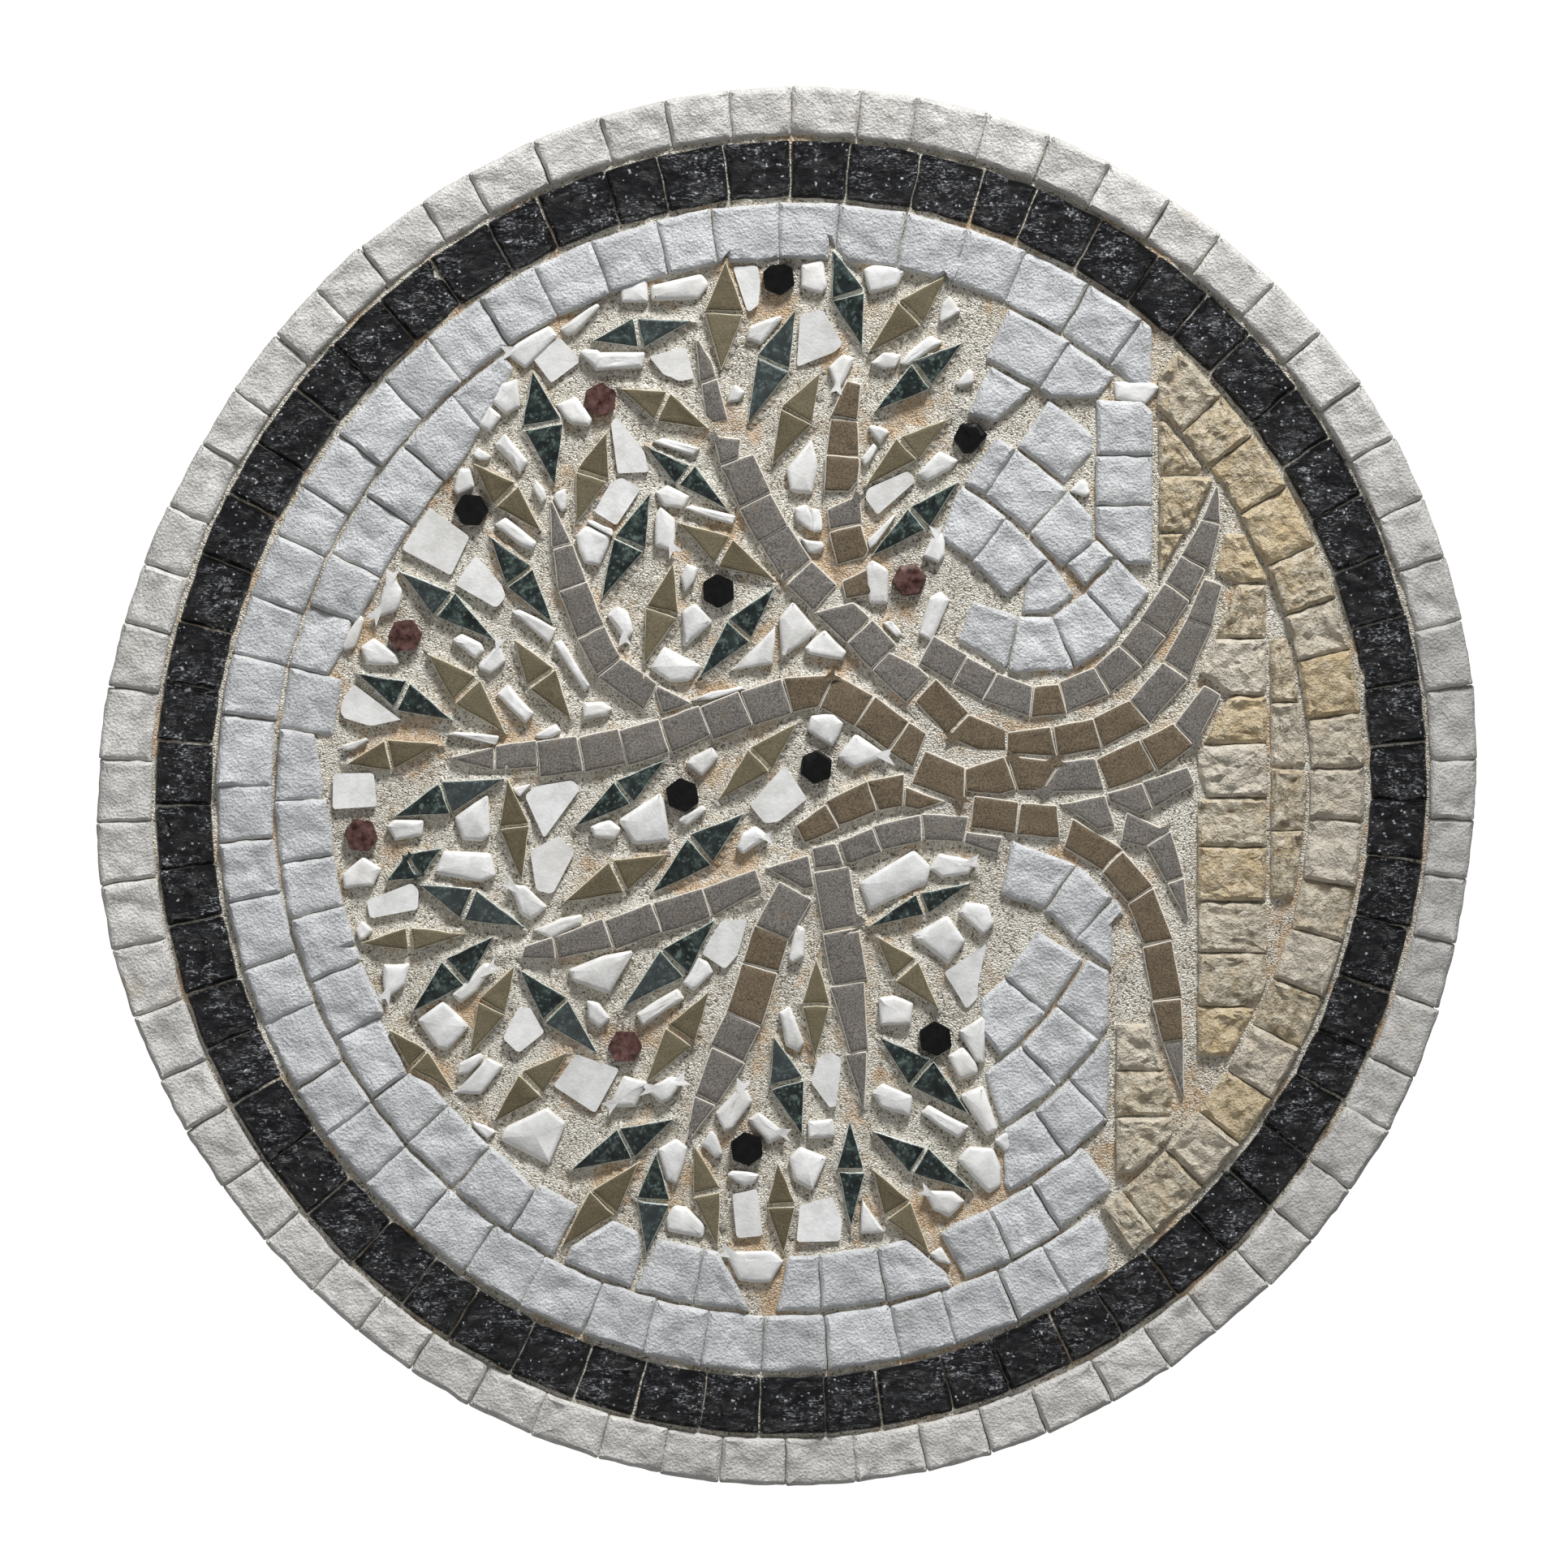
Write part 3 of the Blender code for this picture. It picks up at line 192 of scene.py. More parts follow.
    ((-58.4, 50.2), (-57.1, 48.9), (-56.6, 49.4), (-55.3, 52.9), (-56.3, 52.7)),
    ((46.8, 41.5), (47.8, 40.5), (49.8, 41), (51.1, 42.3), (49.6, 42.8)),
    ((66.8, -27.3), (66.3, -27.8), (67.1, -30.4), (69.1, -30.1), (69.4, -29.3)),
    ((56.4, -14.4), (57.2, -13.6), (54.6, -11.6), (53.1, -12.1), (53.9, -13.1)),
    ((43.7, 33.6), (41.4, 29.6), (42.7, 29.6), (44.2, 32.6), (44.2, 33.6)),
    ((6.1, 74.5), (6.4, 72.5), (7.7, 70.2), (8.2, 70.5), (7.1, 74.5)),
    ((54.4, 51.9), (54.4, 50.2), (54.9, 49.6), (56.4, 51.9), (55.1, 52.9)),
    ((27.2, -15.1), (24.7, -17.7), (25.4, -18.4), (26.4, -17.7), (27.5, -16.4)),
    ((0.3, 43), (0.5, 43.3), (0, 45.8), (-0.5, 46.1), (-1.7, 45.1)),
)

rng = np.random.default_rng(5)


# Handling of pieces

def only(obj):
    """Makes obj the one selected and active object."""
    bpy.ops.object.select_all(action="DESELECT")
    obj.select_set(True)
    bpy.context.view_layer.objects.active = obj


def open_edit(obj):
    only(obj)
    bpy.ops.object.mode_set(mode="EDIT")
    bpy.ops.mesh.select_mode(type="FACE")


def close_edit():
    bpy.ops.object.mode_set(mode="OBJECT")


def choose(obj, kind, test):
    """Selects the faces, edges or corners of obj, in edit mode, that pass a test."""
    bpy.ops.mesh.select_mode(type=kind)
    bpy.ops.mesh.select_all(action="DESELECT")
    bm = bmesh.from_edit_mesh(obj.data)
    for part in {"FACE": bm.faces, "EDGE": bm.edges, "VERT": bm.verts}[kind]:
        if test(part):
            part.select_set(True)
    bmesh.update_edit_mesh(obj.data)


def join(pieces, name):
    """One object out of several."""
    bpy.ops.object.select_all(action="DESELECT")
    for piece in pieces:
        piece.select_set(True)
    bpy.context.view_layer.objects.active = pieces[0]
    if len(pieces) > 1:
        bpy.ops.object.join()
    pieces[0].name = name
    pieces[0].data.name = name
    return pieces[0]


def places(obj):
    co = np.empty(len(obj.data.vertices) * 3)
    obj.data.vertices.foreach_get("co", co)
    return co.reshape(-1, 3)


def place(obj, co):
    obj.data.vertices.foreach_set("co", co.ravel())
    obj.data.update()


def stone_of_vertex(obj):
    """The stone that each vertex belongs to."""
    mesh = obj.data
    of_face = np.empty(len(mesh.polygons), np.int32)
    mesh.attributes["stone"].data.foreach_get("value", of_face)
    sides = np.empty(len(mesh.polygons), np.int32)
    mesh.polygons.foreach_get("loop_total", sides)
    corner = np.empty(len(mesh.loops), np.int32)
    mesh.loops.foreach_get("vertex_index", corner)
    owner = np.zeros(len(mesh.vertices), np.int32)
    owner[corner] = np.repeat(of_face, sides)
    return owner


def write_attribute(obj, name, values):
    layer = obj.data.attributes.get(name) or obj.data.attributes.new(name, "FLOAT", "POINT")
    layer.data.foreach_set("value", values.astype(np.float32))


def displace(obj, name, kind, size, strength, direction="Y", group=None, **settings):
    """Pushes the mesh by a procedural texture with features of a size in metres."""
    texture = bpy.data.textures.new(name, kind)
    texture.noise_scale = size
    for key, value in settings.items():
        setattr(texture, key, value)
    only(obj)
    made = obj.modifiers.new(name, "DISPLACE")
    made.texture = texture
    made.texture_coords = "LOCAL"
    made.direction = direction
    made.strength = strength
    made.mid_level = 0.5
    if group:
        made.vertex_group = group
    bpy.ops.object.modifier_apply(modifier=name)
    bpy.data.textures.remove(texture)


def wobble(obj, size, strength, **settings):
    """Makes straight edges uneven."""
    displace(obj, "edge wobble", "CLOUDS", size, strength, direction="RGB_TO_XYZ", cloud_type="COLOR",
             **settings)


# Stones

def flat_tops(node, name, low, high, joint):
    """The flat stone tops of a CAD node between two levels, as one piece, each drawn in by half a joint."""
    piece = bpy.data.objects.new(name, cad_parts[node].data.copy())
    bpy.context.scene.collection.objects.link(piece)
    piece.data.materials.clear()
    open_edit(piece)
    bpy.ops.mesh.select_all(action="SELECT")
    bpy.ops.mesh.customdata_custom_splitnormals_clear()
    bpy.ops.mesh.remove_doubles(threshold=1e-6)
    bpy.ops.mesh.dissolve_limited(angle_limit=math.radians(0.2))
    choose(piece, "FACE", lambda f: not (f.normal.y < -0.995 and low < -f.calc_center_median().y < high))
    bpy.ops.mesh.delete(type="FACE")
    bpy.ops.mesh.select_all(action="SELECT")
    bpy.ops.mesh.dissolve_limited(angle_limit=math.radians(1.0))
    draw_in(joint)
    close_edit()
    number_stones(piece)
    return piece


def draw_in(joint):
    """Makes each flat top smaller all round by a distance, or larger when that is below nought."""
    bpy.ops.mesh.select_mode(type="FACE")
    bpy.ops.mesh.select_all(action="SELECT")
    bpy.ops.mesh.inset(thickness=joint, depth=0, use_individual=True, use_even_offset=joint > 0)
    bpy.ops.mesh.select_all(action="INVERT")
    bpy.ops.mesh.delete(type="FACE")


def number_stones(piece):
    """Gives each face of a piece the number of its stone."""
    stone = piece.data.attributes.new("stone", "INT", "FACE")
    stone.data.foreach_set("value", np.arange(len(piece.data.polygons), dtype=np.int32))


def number_from(piece, first):
    """Raises the numbers of a piece's stones, so that they stay apart from those of pieces joined to it."""
    stone = piece.data.attributes["stone"]
    values = np.empty(len(stone.data), np.int32)
    stone.data.foreach_get("value", values)
    stone.data.foreach_set("value", values + first)


def half_width(face):
    """The radius of the circle that a face holds, about."""
    return 2 * face.calc_area() / face.calc_perimeter()


def raise_stones(piece, rings, depth, cuts, corner):
    """Gives flat tops rounded corners, a rounded edge in rings (width, rise), sides and a filled back."""
    drop = sum(rise for _, rise in rings)
    open_edit(piece)
    choose(piece, "VERT", lambda v: math.radians(25) < v.calc_edge_angle(0) < math.radians(125) and
           min(e.calc_length() for e in v.link_edges) > 2.3 * corner)
    bpy.ops.mesh.bevel(offset=corner, segments=2, affect="VERTICES")
    bpy.ops.mesh.select_mode(type="FACE")
    bpy.ops.mesh.select_all(action="SELECT")
    bpy.ops.transform.translate(value=(0, drop, 0))
    reach = sum(width for width, _ in rings)
    for least, most, share in NARROW_STONES:
        choose(piece, "FACE", lambda f: abs(f.normal.y) > 0.9999 and
               least * reach <= half_width(f) < most * reach)
        if any(face.select for face in bmesh.from_edit_mesh(piece.data).faces):
            for width, rise in rings:
                bpy.ops.mesh.inset(thickness=width * share, depth=rise, use_individual=True,
                                   use_even_offset=True)
    choose(piece, "FACE", lambda f: abs(f.normal.y) > 0.9999)
    if cuts:
        bpy.ops.mesh.poke()
        choose(piece, "EDGE", lambda e: abs(e.verts[0].co.y - e.verts[1].co.y) < 2e-6)
        bpy.ops.mesh.subdivide(number_cuts=cuts)
    choose(piece, "EDGE", lambda e: e.is_boundary)
    bpy.ops.mesh.extrude_region_move(TRANSFORM_OT_translate={"value": (0, depth, 0)})
    bpy.ops.mesh.select_all(action="SELECT")
    bpy.ops.mesh.fill_holes(sides=0)
    bpy.ops.mesh.normals_make_consistent(inside=False)
    close_edit()
    co = places(piece)
    owner = stone_of_vertex(piece)
    top = np.full(owner.max() + 1, np.inf)
    np.minimum.at(top, owner, co[:, 1])
    edge = np.clip((co[:, 1] - top[owner]) / drop, 0, 1)
    write_attribute(piece, "edge", edge)
    write_attribute(piece, "tone", rng.uniform(0, 1, len(top))[owner])
    group = piece.vertex_groups.new(name="face")
    for weight, low, high in BREAK_WEIGHTS:
        chosen = np.nonzero((edge >= low) & (edge < high))[0]
        group.add(chosen.tolist(), weight, "REPLACE")
    return piece


def middles(piece):
    """The place (x, z) of each stone, and the stone of each vertex."""
    co = places(piece)
    owner = stone_of_vertex(piece)
    number = owner.max() + 1
    count = np.maximum(np.bincount(owner, minlength=number), 1)
    return np.stack([np.bincount(owner, co[:, k], number) / count for k in (0, 2)], axis=1), owner


def unsettle(piece, slope, lift, turn=0.0, shift=0.0, outward=0.0):
    """Sets each stone a little askew, as by hand; outward makes it longer from the panel's middle."""
    co = places(piece)
    middle, owner = middles(piece)
    number = len(middle)
    flat = co[:, [0, 2]] - middle[owner]
    lean = rng.uniform(-slope, slope, (number, 2))
    move = np.sum(flat * lean[owner], axis=1) + rng.uniform(-lift, lift, number)[owner]
    co[:, 1] += np.clip(move, -MOST_TILT, MOST_TILT)
    way = middle / np.linalg.norm(middle, axis=1)[:, None]
    flat += way[owner] * (np.sum(flat * way[owner], axis=1) * outward)[:, None]
    angle = rng.uniform(-turn, turn, number)[owner]
    across = np.stack([-flat[:, 1], flat[:, 0]], axis=1)
    flat = flat * np.cos(angle)[:, None] + across * np.sin(angle)[:, None]
    co[:, [0, 2]] = flat + middle[owner] + rng.uniform(-shift, shift, (number, 2))[owner]
    place(piece, co)


def split_face(piece, scale, broad, rough, edge):
    """Breaks the flat tops into the hollows and ridges of a split face."""
    wobble(piece, 3.2 * MM * scale, edge, noise_depth=2)
    displace(piece, "broad hollows", "VORONOI", 5.0 * MM * scale, broad, group="face",
             distance_metric="DISTANCE_SQUARED")
    displace(piece, "broken ridges", "CLOUDS", 1.9 * MM * scale, rough, group="face", noise_depth=3)


def sawn_stones(node, name, low, joint, rings, high=99.0, depth=2.2, cuts=2, corner=0.3):
    """Stones with even rounded edges, with every size in millimetres."""
    piece = flat_tops(node, name, low * MM, high * MM, joint * MM)
    return raise_stones(piece, [(w * MM, r * MM) for w, r in rings], depth * MM, cuts, corner * MM)


def split_stones(node, name, low, scale, broad, rough, joint=-0.08, depth=2.4, outward=0.0):
    """Stones with a broken face, its hollows and ridges of a scale and deep by so many millimetres."""
    piece = sawn_stones(node, name, low, joint, ((0.22, 0.36), (0.5, 0.28)), depth=depth, cuts=7, corner=0.4)
    unsettle(piece, 0.055, 0.12 * MM, math.radians(0.8), 0.1 * MM, outward)
    split_face(piece, scale, broad * MM, rough * MM, 0.55 * MM)
    return piece


def small_chips(name):
    """The small chips of the crown, made flat at their corners and then raised."""
    chips = []
    for corners in SMALL_CHIPS:
        bpy.ops.mesh.primitive_circle_add(vertices=len(corners), radius=MM, fill_type="NGON")
        chip = bpy.context.object
        ring = [chip.data.vertices[v] for v in chip.data.polygons[0].vertices]
        for vertex, (x, z) in zip(ring, corners):
            vertex.co = (x * MM, -SMALL_CHIP_TOP * MM, z * MM)
        chips.append(chip)
    piece = join(chips, name)
    open_edit(piece)
    draw_in(-0.45 * MM)
    close_edit()
    number_stones(piece)
    return raise_stones(piece, [(0.3 * MM, 0.3 * MM), (0.35 * MM, 0.12 * MM)], 2.5 * MM, 1, 0.35 * MM)


# Shader maths

class Value:
    """A socket in a material's maths: an expression on it adds Math nodes."""

    def __init__(self, paint, socket):
        self.paint, self.socket = paint, socket

    def _math(self, operation, *others, turned=False):
        inputs = (others[0], self) if turned else (self,) + others
        return self.paint.node("Math", {"operation": operation}, dict(enumerate(inputs)))

    def __add__(self, other):
        return self._math("ADD", other)

    def __sub__(self, other):
        return self._math("SUBTRACT", other)

    def __rsub__(self, other):
        return self._math("SUBTRACT", other, turned=True)

    def __mul__(self, other):
        return self._math("MULTIPLY", other)

    def __lt__(self, other):
        return self._math("LESS_THAN", other)

    def __gt__(self, other):
        return self._math("GREATER_THAN", other)

    def above(self, low, high):
        """0 below low, 1 above high and a smooth rise between."""
        return self.paint.node("MapRange", {"interpolation_type": "SMOOTHSTEP"},
                               {"Value": self, "From Min": low, "From Max": high})


class Paint:
    """One material in the making."""

    def __init__(self, name):
        self.material = bpy.data.materials.new(name)
        self.material.use_nodes = True
        self.tree = self.material.node_tree
        self.shader = self.tree.nodes["Principled BSDF"]
        self.at = Value(self, self.tree.nodes.new("ShaderNodeTexCoord").outputs["Object"])

    def node(self, kind, settings, inputs, output=0):
        made = self.tree.nodes.new("ShaderNode" + kind)
        for key, value in settings.items():
            if key == "stops":
                while len(made.color_ramp.elements) < len(value):
                    made.color_ramp.elements.new(0.5)
                for element, (position, color) in zip(made.color_ramp.elements, value):
                    element.position, element.color = position, (*color, 1)
            else:
                setattr(made, key, value)
        self.feed(made, inputs)
        return Value(self, made.outputs[output])

    def feed(self, made, inputs):
        for key, value in inputs.items():
            if isinstance(value, Value):
                self.tree.links.new(value.socket, made.inputs[key])
            else:
                made.inputs[key].default_value = (*value, 1) if isinstance(value, tuple) and \
                    len(made.inputs[key].default_value) == 4 else value

    def noise(self, size, detail=2.0, rough=0.5, at=None):
        """Noise with features of a size in millimetres."""
        return self.node("TexNoise", {}, {"Vector": at or self.at, "Scale": 1000 / size, "Detail": detail,
                                          "Roughness": rough})

    def cells(self, size, output="Distance"):
        """Cells of a size in millimetres: the distance from their middles, or a random value for each."""
        return self.node("TexVoronoi", {}, {"Vector": self.at, "Scale": 1000 / size}, output)

    def attribute(self, name):
        return self.node("Attribute", {"attribute_name": name}, {}, "Fac")

    def mix(self, factor, one, two, kind="MIX"):
        return self.node("Mix", {"data_type": "RGBA", "blend_type": kind}, {0: factor, 6: one, 7: two}, 2)

    def ramp(self, factor, *stops):
        return self.node("ValToRGB", {"stops": stops}, {"Fac": factor})

    def dust_and_highlight(self, color, low, high, share, dust_and_highlight_color):
        """A colour with mortar left on the rounded edge of the stones, from low to high down the edge; on the
        tree and the leaves the pale colour is also a painted highlight of the lit edges.
        """
        return self.mix(self.attribute("edge").above(low, high) * share, color, dust_and_highlight_color)

    def bump(self, height, distance, strength):
        return self.node("Bump", {}, {"Height": height, "Distance": distance * MM, "Strength": strength})

    def finish(self, **sockets):
        self.feed(self.shader, {key.replace("_", " "): value for key, value in sockets.items()})
        return self.material


def split_marble(name, light, dark, stain, stain_amount):
    """White marble with a crystalline break, mottled with grey and dusted with mortar at its edges."""
    p = Paint(name)
    grain = p.noise(0.55, 4, 0.7)
    cloud = p.noise(3.5, 3)
    crystal = p.cells(0.5)
    color = p.ramp(cloud * 0.5 + grain * 0.5, (0.4, dark), (0.58, light))
    color = p.mix(p.attribute("tone").above(0.2, 1.0) * 0.35, color, dark)
    color = p.mix(p.noise(9, 3).above(0.62, 0.78) * stain_amount, color, stain)
    color = p.dust_and_highlight(color, 0.45, 1.0, 0.5, (0.56, 0.52, 0.44))
    shape = p.bump(grain + crystal * 0.5 + p.noise(0.25) * 0.3, 0.34, 1.0)
    return p.finish(Base_Color=color, Roughness=grain * 0.25 + 0.45, Normal=shape)


def black_rock():
    """Near-black stone split along layers, with broken grey streaks painted in as sheen and white specks
    painted in as glints where its layers would catch the light.
    """
    p = Paint("black crystalline stone")
    along = p.node("Mapping", {}, {"Vector": p.at, "Scale": (2.6, 1.0, 1.0)})
    fine = p.noise(0.7, 5, 0.75, at=along)
    layers = p.noise(3.0, 5, 0.7, at=along)
    color = p.ramp(layers, (0.4, (0.003, 0.003, 0.004)), (0.7, (0.016, 0.017, 0.02)))
    # Painted sheen: grey streaks in the colour stand in for light reflected from the split layers
    painted_sheen_streaks = (fine * 0.65 + layers * 0.35).above(0.53, 0.59)
    color = p.mix(painted_sheen_streaks * p.noise(7, 3).above(0.4, 0.6) * 0.9, color, (0.42, 0.43, 0.46))
    # Painted glints: small white specks in the colour stand in for light glinting off the stone
    painted_glint_cells = p.cells(0.34, output="Color")
    color = p.mix((painted_glint_cells > 0.88) * layers.above(0.45, 0.58) * 0.85, color, (0.8, 0.82, 0.86))
    color = p.dust_and_highlight(color, 0.8, 1.0, 0.5, (0.5, 0.48, 0.43))
    shape = p.bump(fine * 0.9 + layers * 1.2, 1.0, 1.0)
    return p.finish(Base_Color=color, Roughness=fine * 0.35 + 0.15, Specular_IOR_Level=0.32, Normal=shape)


def limestone():
    """Yellow and beige limestone with a rough break."""
    p = Paint("yellow split limestone")
    rough = p.noise(1.4, 4, 0.65)
    patch = p.noise(5, 3)
    color = p.ramp(rough, (0.34, (0.22, 0.165, 0.10)), (0.5, (0.47, 0.41, 0.30)), (0.68, (0.62, 0.57, 0.47)))
    color = p.mix(patch.above(0.5, 0.66) * 0.4, color, (0.42, 0.31, 0.16))
    tone = p.attribute("tone")
    color = p.mix(tone.above(0.0, 0.6) * -0.45 + 0.45, color, (0.58, 0.44, 0.24))
    color = p.mix(tone.above(0.5, 1.0) * 0.6, color, (0.62, 0.58, 0.51))
    color = p.dust_and_highlight(color, 0.45, 1.0, 0.5, (0.55, 0.50, 0.40))
    shape = p.bump(rough + p.noise(0.4, 3) * 0.4, 0.9, 1.0)
    return p.finish(Base_Color=color, Roughness=0.85, Normal=shape)


def sandstone(name, low, high, other_low, other_high, dust_and_highlight, grain_size):
    """Sawn grainy stone; stones with a tone above a half take the second pair of colours."""
    p = Paint(name)
    grain = p.noise(grain_size, 2, 0.7)
    one = p.ramp(grain, (0.3, low), (0.68, high))
    two = p.ramp(grain, (0.3, other_low), (0.68, other_high))
    color = p.mix(p.attribute("tone").above(0.49, 0.51), one, two)
    color = p.mix(p.noise(2.5, 3).above(0.5, 0.75) * 0.3, color, other_high)
    # Pale edges: mortar dust, and a painted highlight all round each stone standing in for its lit edges
    color = p.dust_and_highlight(color, 0.3, 0.9, 0.85, dust_and_highlight)
    shape = p.bump(grain + p.noise(1.5, 2) * 0.4, 0.12, 0.7)
    return p.finish(Base_Color=color, Roughness=0.75, Normal=shape)


def green_marble():
    """Dark green marble with pale veins and specks."""
    p = Paint("green veined marble")
    turn = p.noise(1.8, 5, 0.7)
    vein = p.node("TexWave", {"wave_type": "BANDS", "bands_direction": "DIAGONAL"},
                  {"Vector": p.at, "Scale": 130.0, "Distortion": 14.0, "Detail": 3.0, "Detail Scale": 1.6})
    color = p.ramp(turn, (0.36, (0.002, 0.004, 0.004)), (0.52, (0.011, 0.02, 0.018)),
                   (0.68, (0.055, 0.08, 0.073)))
    color = p.mix(vein.above(0.86, 0.99) * turn.above(0.45, 0.6) * 0.5, color, (0.13, 0.18, 0.16))
    color = p.mix((p.cells(0.4, output="Color") > 0.8) * 0.35, color, (0.16, 0.22, 0.2))
    color = p.mix(p.attribute("tone").above(0.75, 1.0) * 0.35, color, (0.09, 0.105, 0.11))
    # Pale edges: mortar dust, and a painted highlight all round each leaf half standing in for its lit edges
    color = p.dust_and_highlight(color, 0.35, 0.9, 0.85, (0.62, 0.68, 0.62))
    shape = p.bump(p.noise(0.6, 3) + turn * 0.6, 0.1, 0.6)
    return p.finish(Base_Color=color, Roughness=turn * 0.25 + 0.22, Normal=shape)


def chip_marble():
    """Smooth white marble, creamy in some chips."""
    p = Paint("smooth white marble chips")
    cloud = p.noise(2.6, 4, 0.6)
    color = p.ramp(cloud, (0.35, (0.60, 0.60, 0.59)), (0.6, (0.76, 0.76, 0.76)))
    color = p.mix(p.attribute("tone") * 0.3, color, (0.66, 0.64, 0.59))
    color = p.dust_and_highlight(color, 0.7, 1.0, 0.6, (0.60, 0.55, 0.45))
    shape = p.bump(p.noise(0.5, 3) + p.noise(2.2, 2) * 0.8, 0.12, 0.5)
    return p.finish(Base_Color=color, Roughness=0.42, Normal=shape)


def olive_stone(name, dark, light, roughness):
    p = Paint(name)
    cloud = p.noise(1.5, 4, 0.6)
    color = p.ramp(cloud, (0.35, dark), (0.7, light))
    return p.finish(Base_Color=color, Roughness=roughness, Specular_IOR_Level=0.2,
                    Normal=p.bump(p.noise(0.5, 3), 0.12, 0.6))


def lime_mortar():
    """Sandy mortar with dark and white grains and rusty stains."""
    p = Paint("sandy lime mortar")
    grain = p.cells(0.3)
    kind = p.cells(0.3, output="Color")
    cloud = p.noise(4, 4, 0.6)
    color = p.ramp(cloud, (0.35, (0.46, 0.42, 0.34)), (0.65, (0.66, 0.63, 0.55)))
    color = p.mix((kind > 0.62) * 0.7, color, (0.82, 0.80, 0.74))
    color = p.mix((kind < 0.22) * 0.8, color, (0.13, 0.105, 0.075))
    rust = p.noise(9, 4, 0.6)
    color = p.mix(rust.above(0.5, 0.66) * 0.55, color, (0.50, 0.29, 0.11))
    shape = p.bump((1 - grain) * 0.7 + p.noise(1.1, 3, 0.6) * 0.8, 0.45, 1.0)
    return p.finish(Base_Color=color, Roughness=0.92, Normal=shape)


# The mortar

bed = places(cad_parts["mortar_bed"])
edge_of_bed = bed[(bed[:, 1] > -1e-5) & (np.hypot(bed[:, 0], bed[:, 2]) > 0.9 * RADIUS)]
rim_headings = np.arctan2(edge_of_bed[:, 2], edge_of_bed[:, 0])
rim_radii = np.hypot(edge_of_bed[:, 0], edge_of_bed[:, 2])


def oval(x, z):
    """How far a point lies out, as a share of the radius of the hand-cut rim."""
    return np.hypot(x, z) / np.interp(np.arctan2(z, x), rim_headings, rim_radii, period=2 * math.pi)


def mortar_slab():
    """The slab with its flat back and its hand-cut rim."""
    bpy.ops.mesh.primitive_cylinder_add(vertices=160, radius=RADIUS, depth=BED, location=(0, -BED / 2, 0),
                                        rotation=(math.pi / 2, 0, 0))
    slab = bpy.context.object
    bpy.ops.object.transform_apply(location=True, rotation=True, scale=True)
    open_edit(slab)
    choose(slab, "FACE", lambda f: abs(f.normal.y) > 0.9)
    bpy.ops.mesh.inset(thickness=1.0 * MM, depth=0)
    for _ in range(3):
        bpy.ops.mesh.inset(thickness=9.0 * MM, depth=0)
    choose(slab, "EDGE", lambda e: abs(e.verts[0].co.y - e.verts[1].co.y) > 0.8 * BED)
    bpy.ops.mesh.subdivide(number_cuts=4)
    close_edit()
    co = places(slab)
    share = oval(co[:, 0], co[:, 2])
    out = np.hypot(co[:, 0], co[:, 2])
    fit = RADIUS / out.max()
    co[:, [0, 2]] *= (fit * SLAB_REACH * out / np.maximum(share * RADIUS, 1e-6))[:, None]
    place(slab, co)
    made = slab.modifiers.new("worn edge", "BEVEL")
    made.width = 0.5 * MM
    made.segments = 2
    made.limit_method = "ANGLE"
    made.angle_limit = math.radians(60)
    only(slab)
    bpy.ops.object.modifier_apply(modifier="worn edge")
    return slab


def mortar_fill():
    """The mortar that fills the crown and the joints up to the stones, at the level of each place."""
    bpy.ops.mesh.primitive_grid_add(x_subdivisions=FILL_SQUARES, y_subdivisions=FILL_SQUARES,
                                    size=2.06 * RADIUS, location=(0, 0, 0), rotation=(math.pi / 2, 0, 0))
    fill = bpy.context.object
    bpy.ops.object.transform_apply(location=True, rotation=True, scale=True)
    open_edit(fill)
    choose(fill, "FACE", lambda f: all(oval(v.co.x, v.co.z) > FILL_REACH for v in f.verts))
    bpy.ops.mesh.delete(type="FACE")
    close_edit()
    co = places(fill)
    share = oval(co[:, 0], co[:, 2])
    co[:, [0, 2]] *= np.minimum(1, FILL_REACH / np.maximum(share, 1e-6))[:, None]
    cad = bpy.context.evaluated_depsgraph_get()
    solid = BVHTree.FromObject(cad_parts["mortar_bed"], cad)
    tree, course = [BVHTree.FromObject(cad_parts[name], cad) for name in ("olive_tree", "black_course")]
    into = Vector((0, 1, 0))
    for i, (x, _, z) in enumerate(co):
        start = Vector((x, -IN_FRONT, z))
        hit = solid.ray_cast(start, into)[0]
        depth = -hit.y if hit else 0
        if POCKET_LOW < depth < POCKET_HIGH or tree.ray_cast(start, into)[0]:
            co[i, 1] = -FULL_JOINT_LEVEL
        elif course.ray_cast(start, into)[0]:
            co[i, 1] = -COURSE_JOINT_LEVEL
        else:
            co[i, 1] = -CROWN_LEVEL if depth > POCKET_HIGH else -JOINT_LEVEL
    place(fill, co)
    open_edit(fill)
    choose(fill, "EDGE", lambda e: e.is_boundary)
    bpy.ops.mesh.extrude_region_move(TRANSFORM_OT_translate={"value": (0, FILL_DEPTH, 0)})
    bpy.ops.mesh.select_all(action="SELECT")
    bpy.ops.mesh.fill_holes(sides=0)
    bpy.ops.mesh.normals_make_consistent(inside=False)
    close_edit()
    group = fill.vertex_groups.new(name="face")
    co = places(fill)
    # The grain is strongest in the crown and weakest in the joints of the black course, tree and leaves
    for weight, above in ((1.0, 11 * MM), (0.6, JOINT_LEVEL - 0.1 * MM),
                          (0.25, COURSE_JOINT_LEVEL - 0.1 * MM)):
        group.add(np.nonzero(co[:, 1] < -above)[0].tolist(), weight, "REPLACE")
    displace(fill, "trowel", "CLOUDS", 4.0 * MM, 0.7 * MM, group="face", noise_depth=2)
    displace(fill, "sand", "CLOUDS", 1.1 * MM, 0.45 * MM, group="face", noise_depth=2)
    return fill


# The pieces

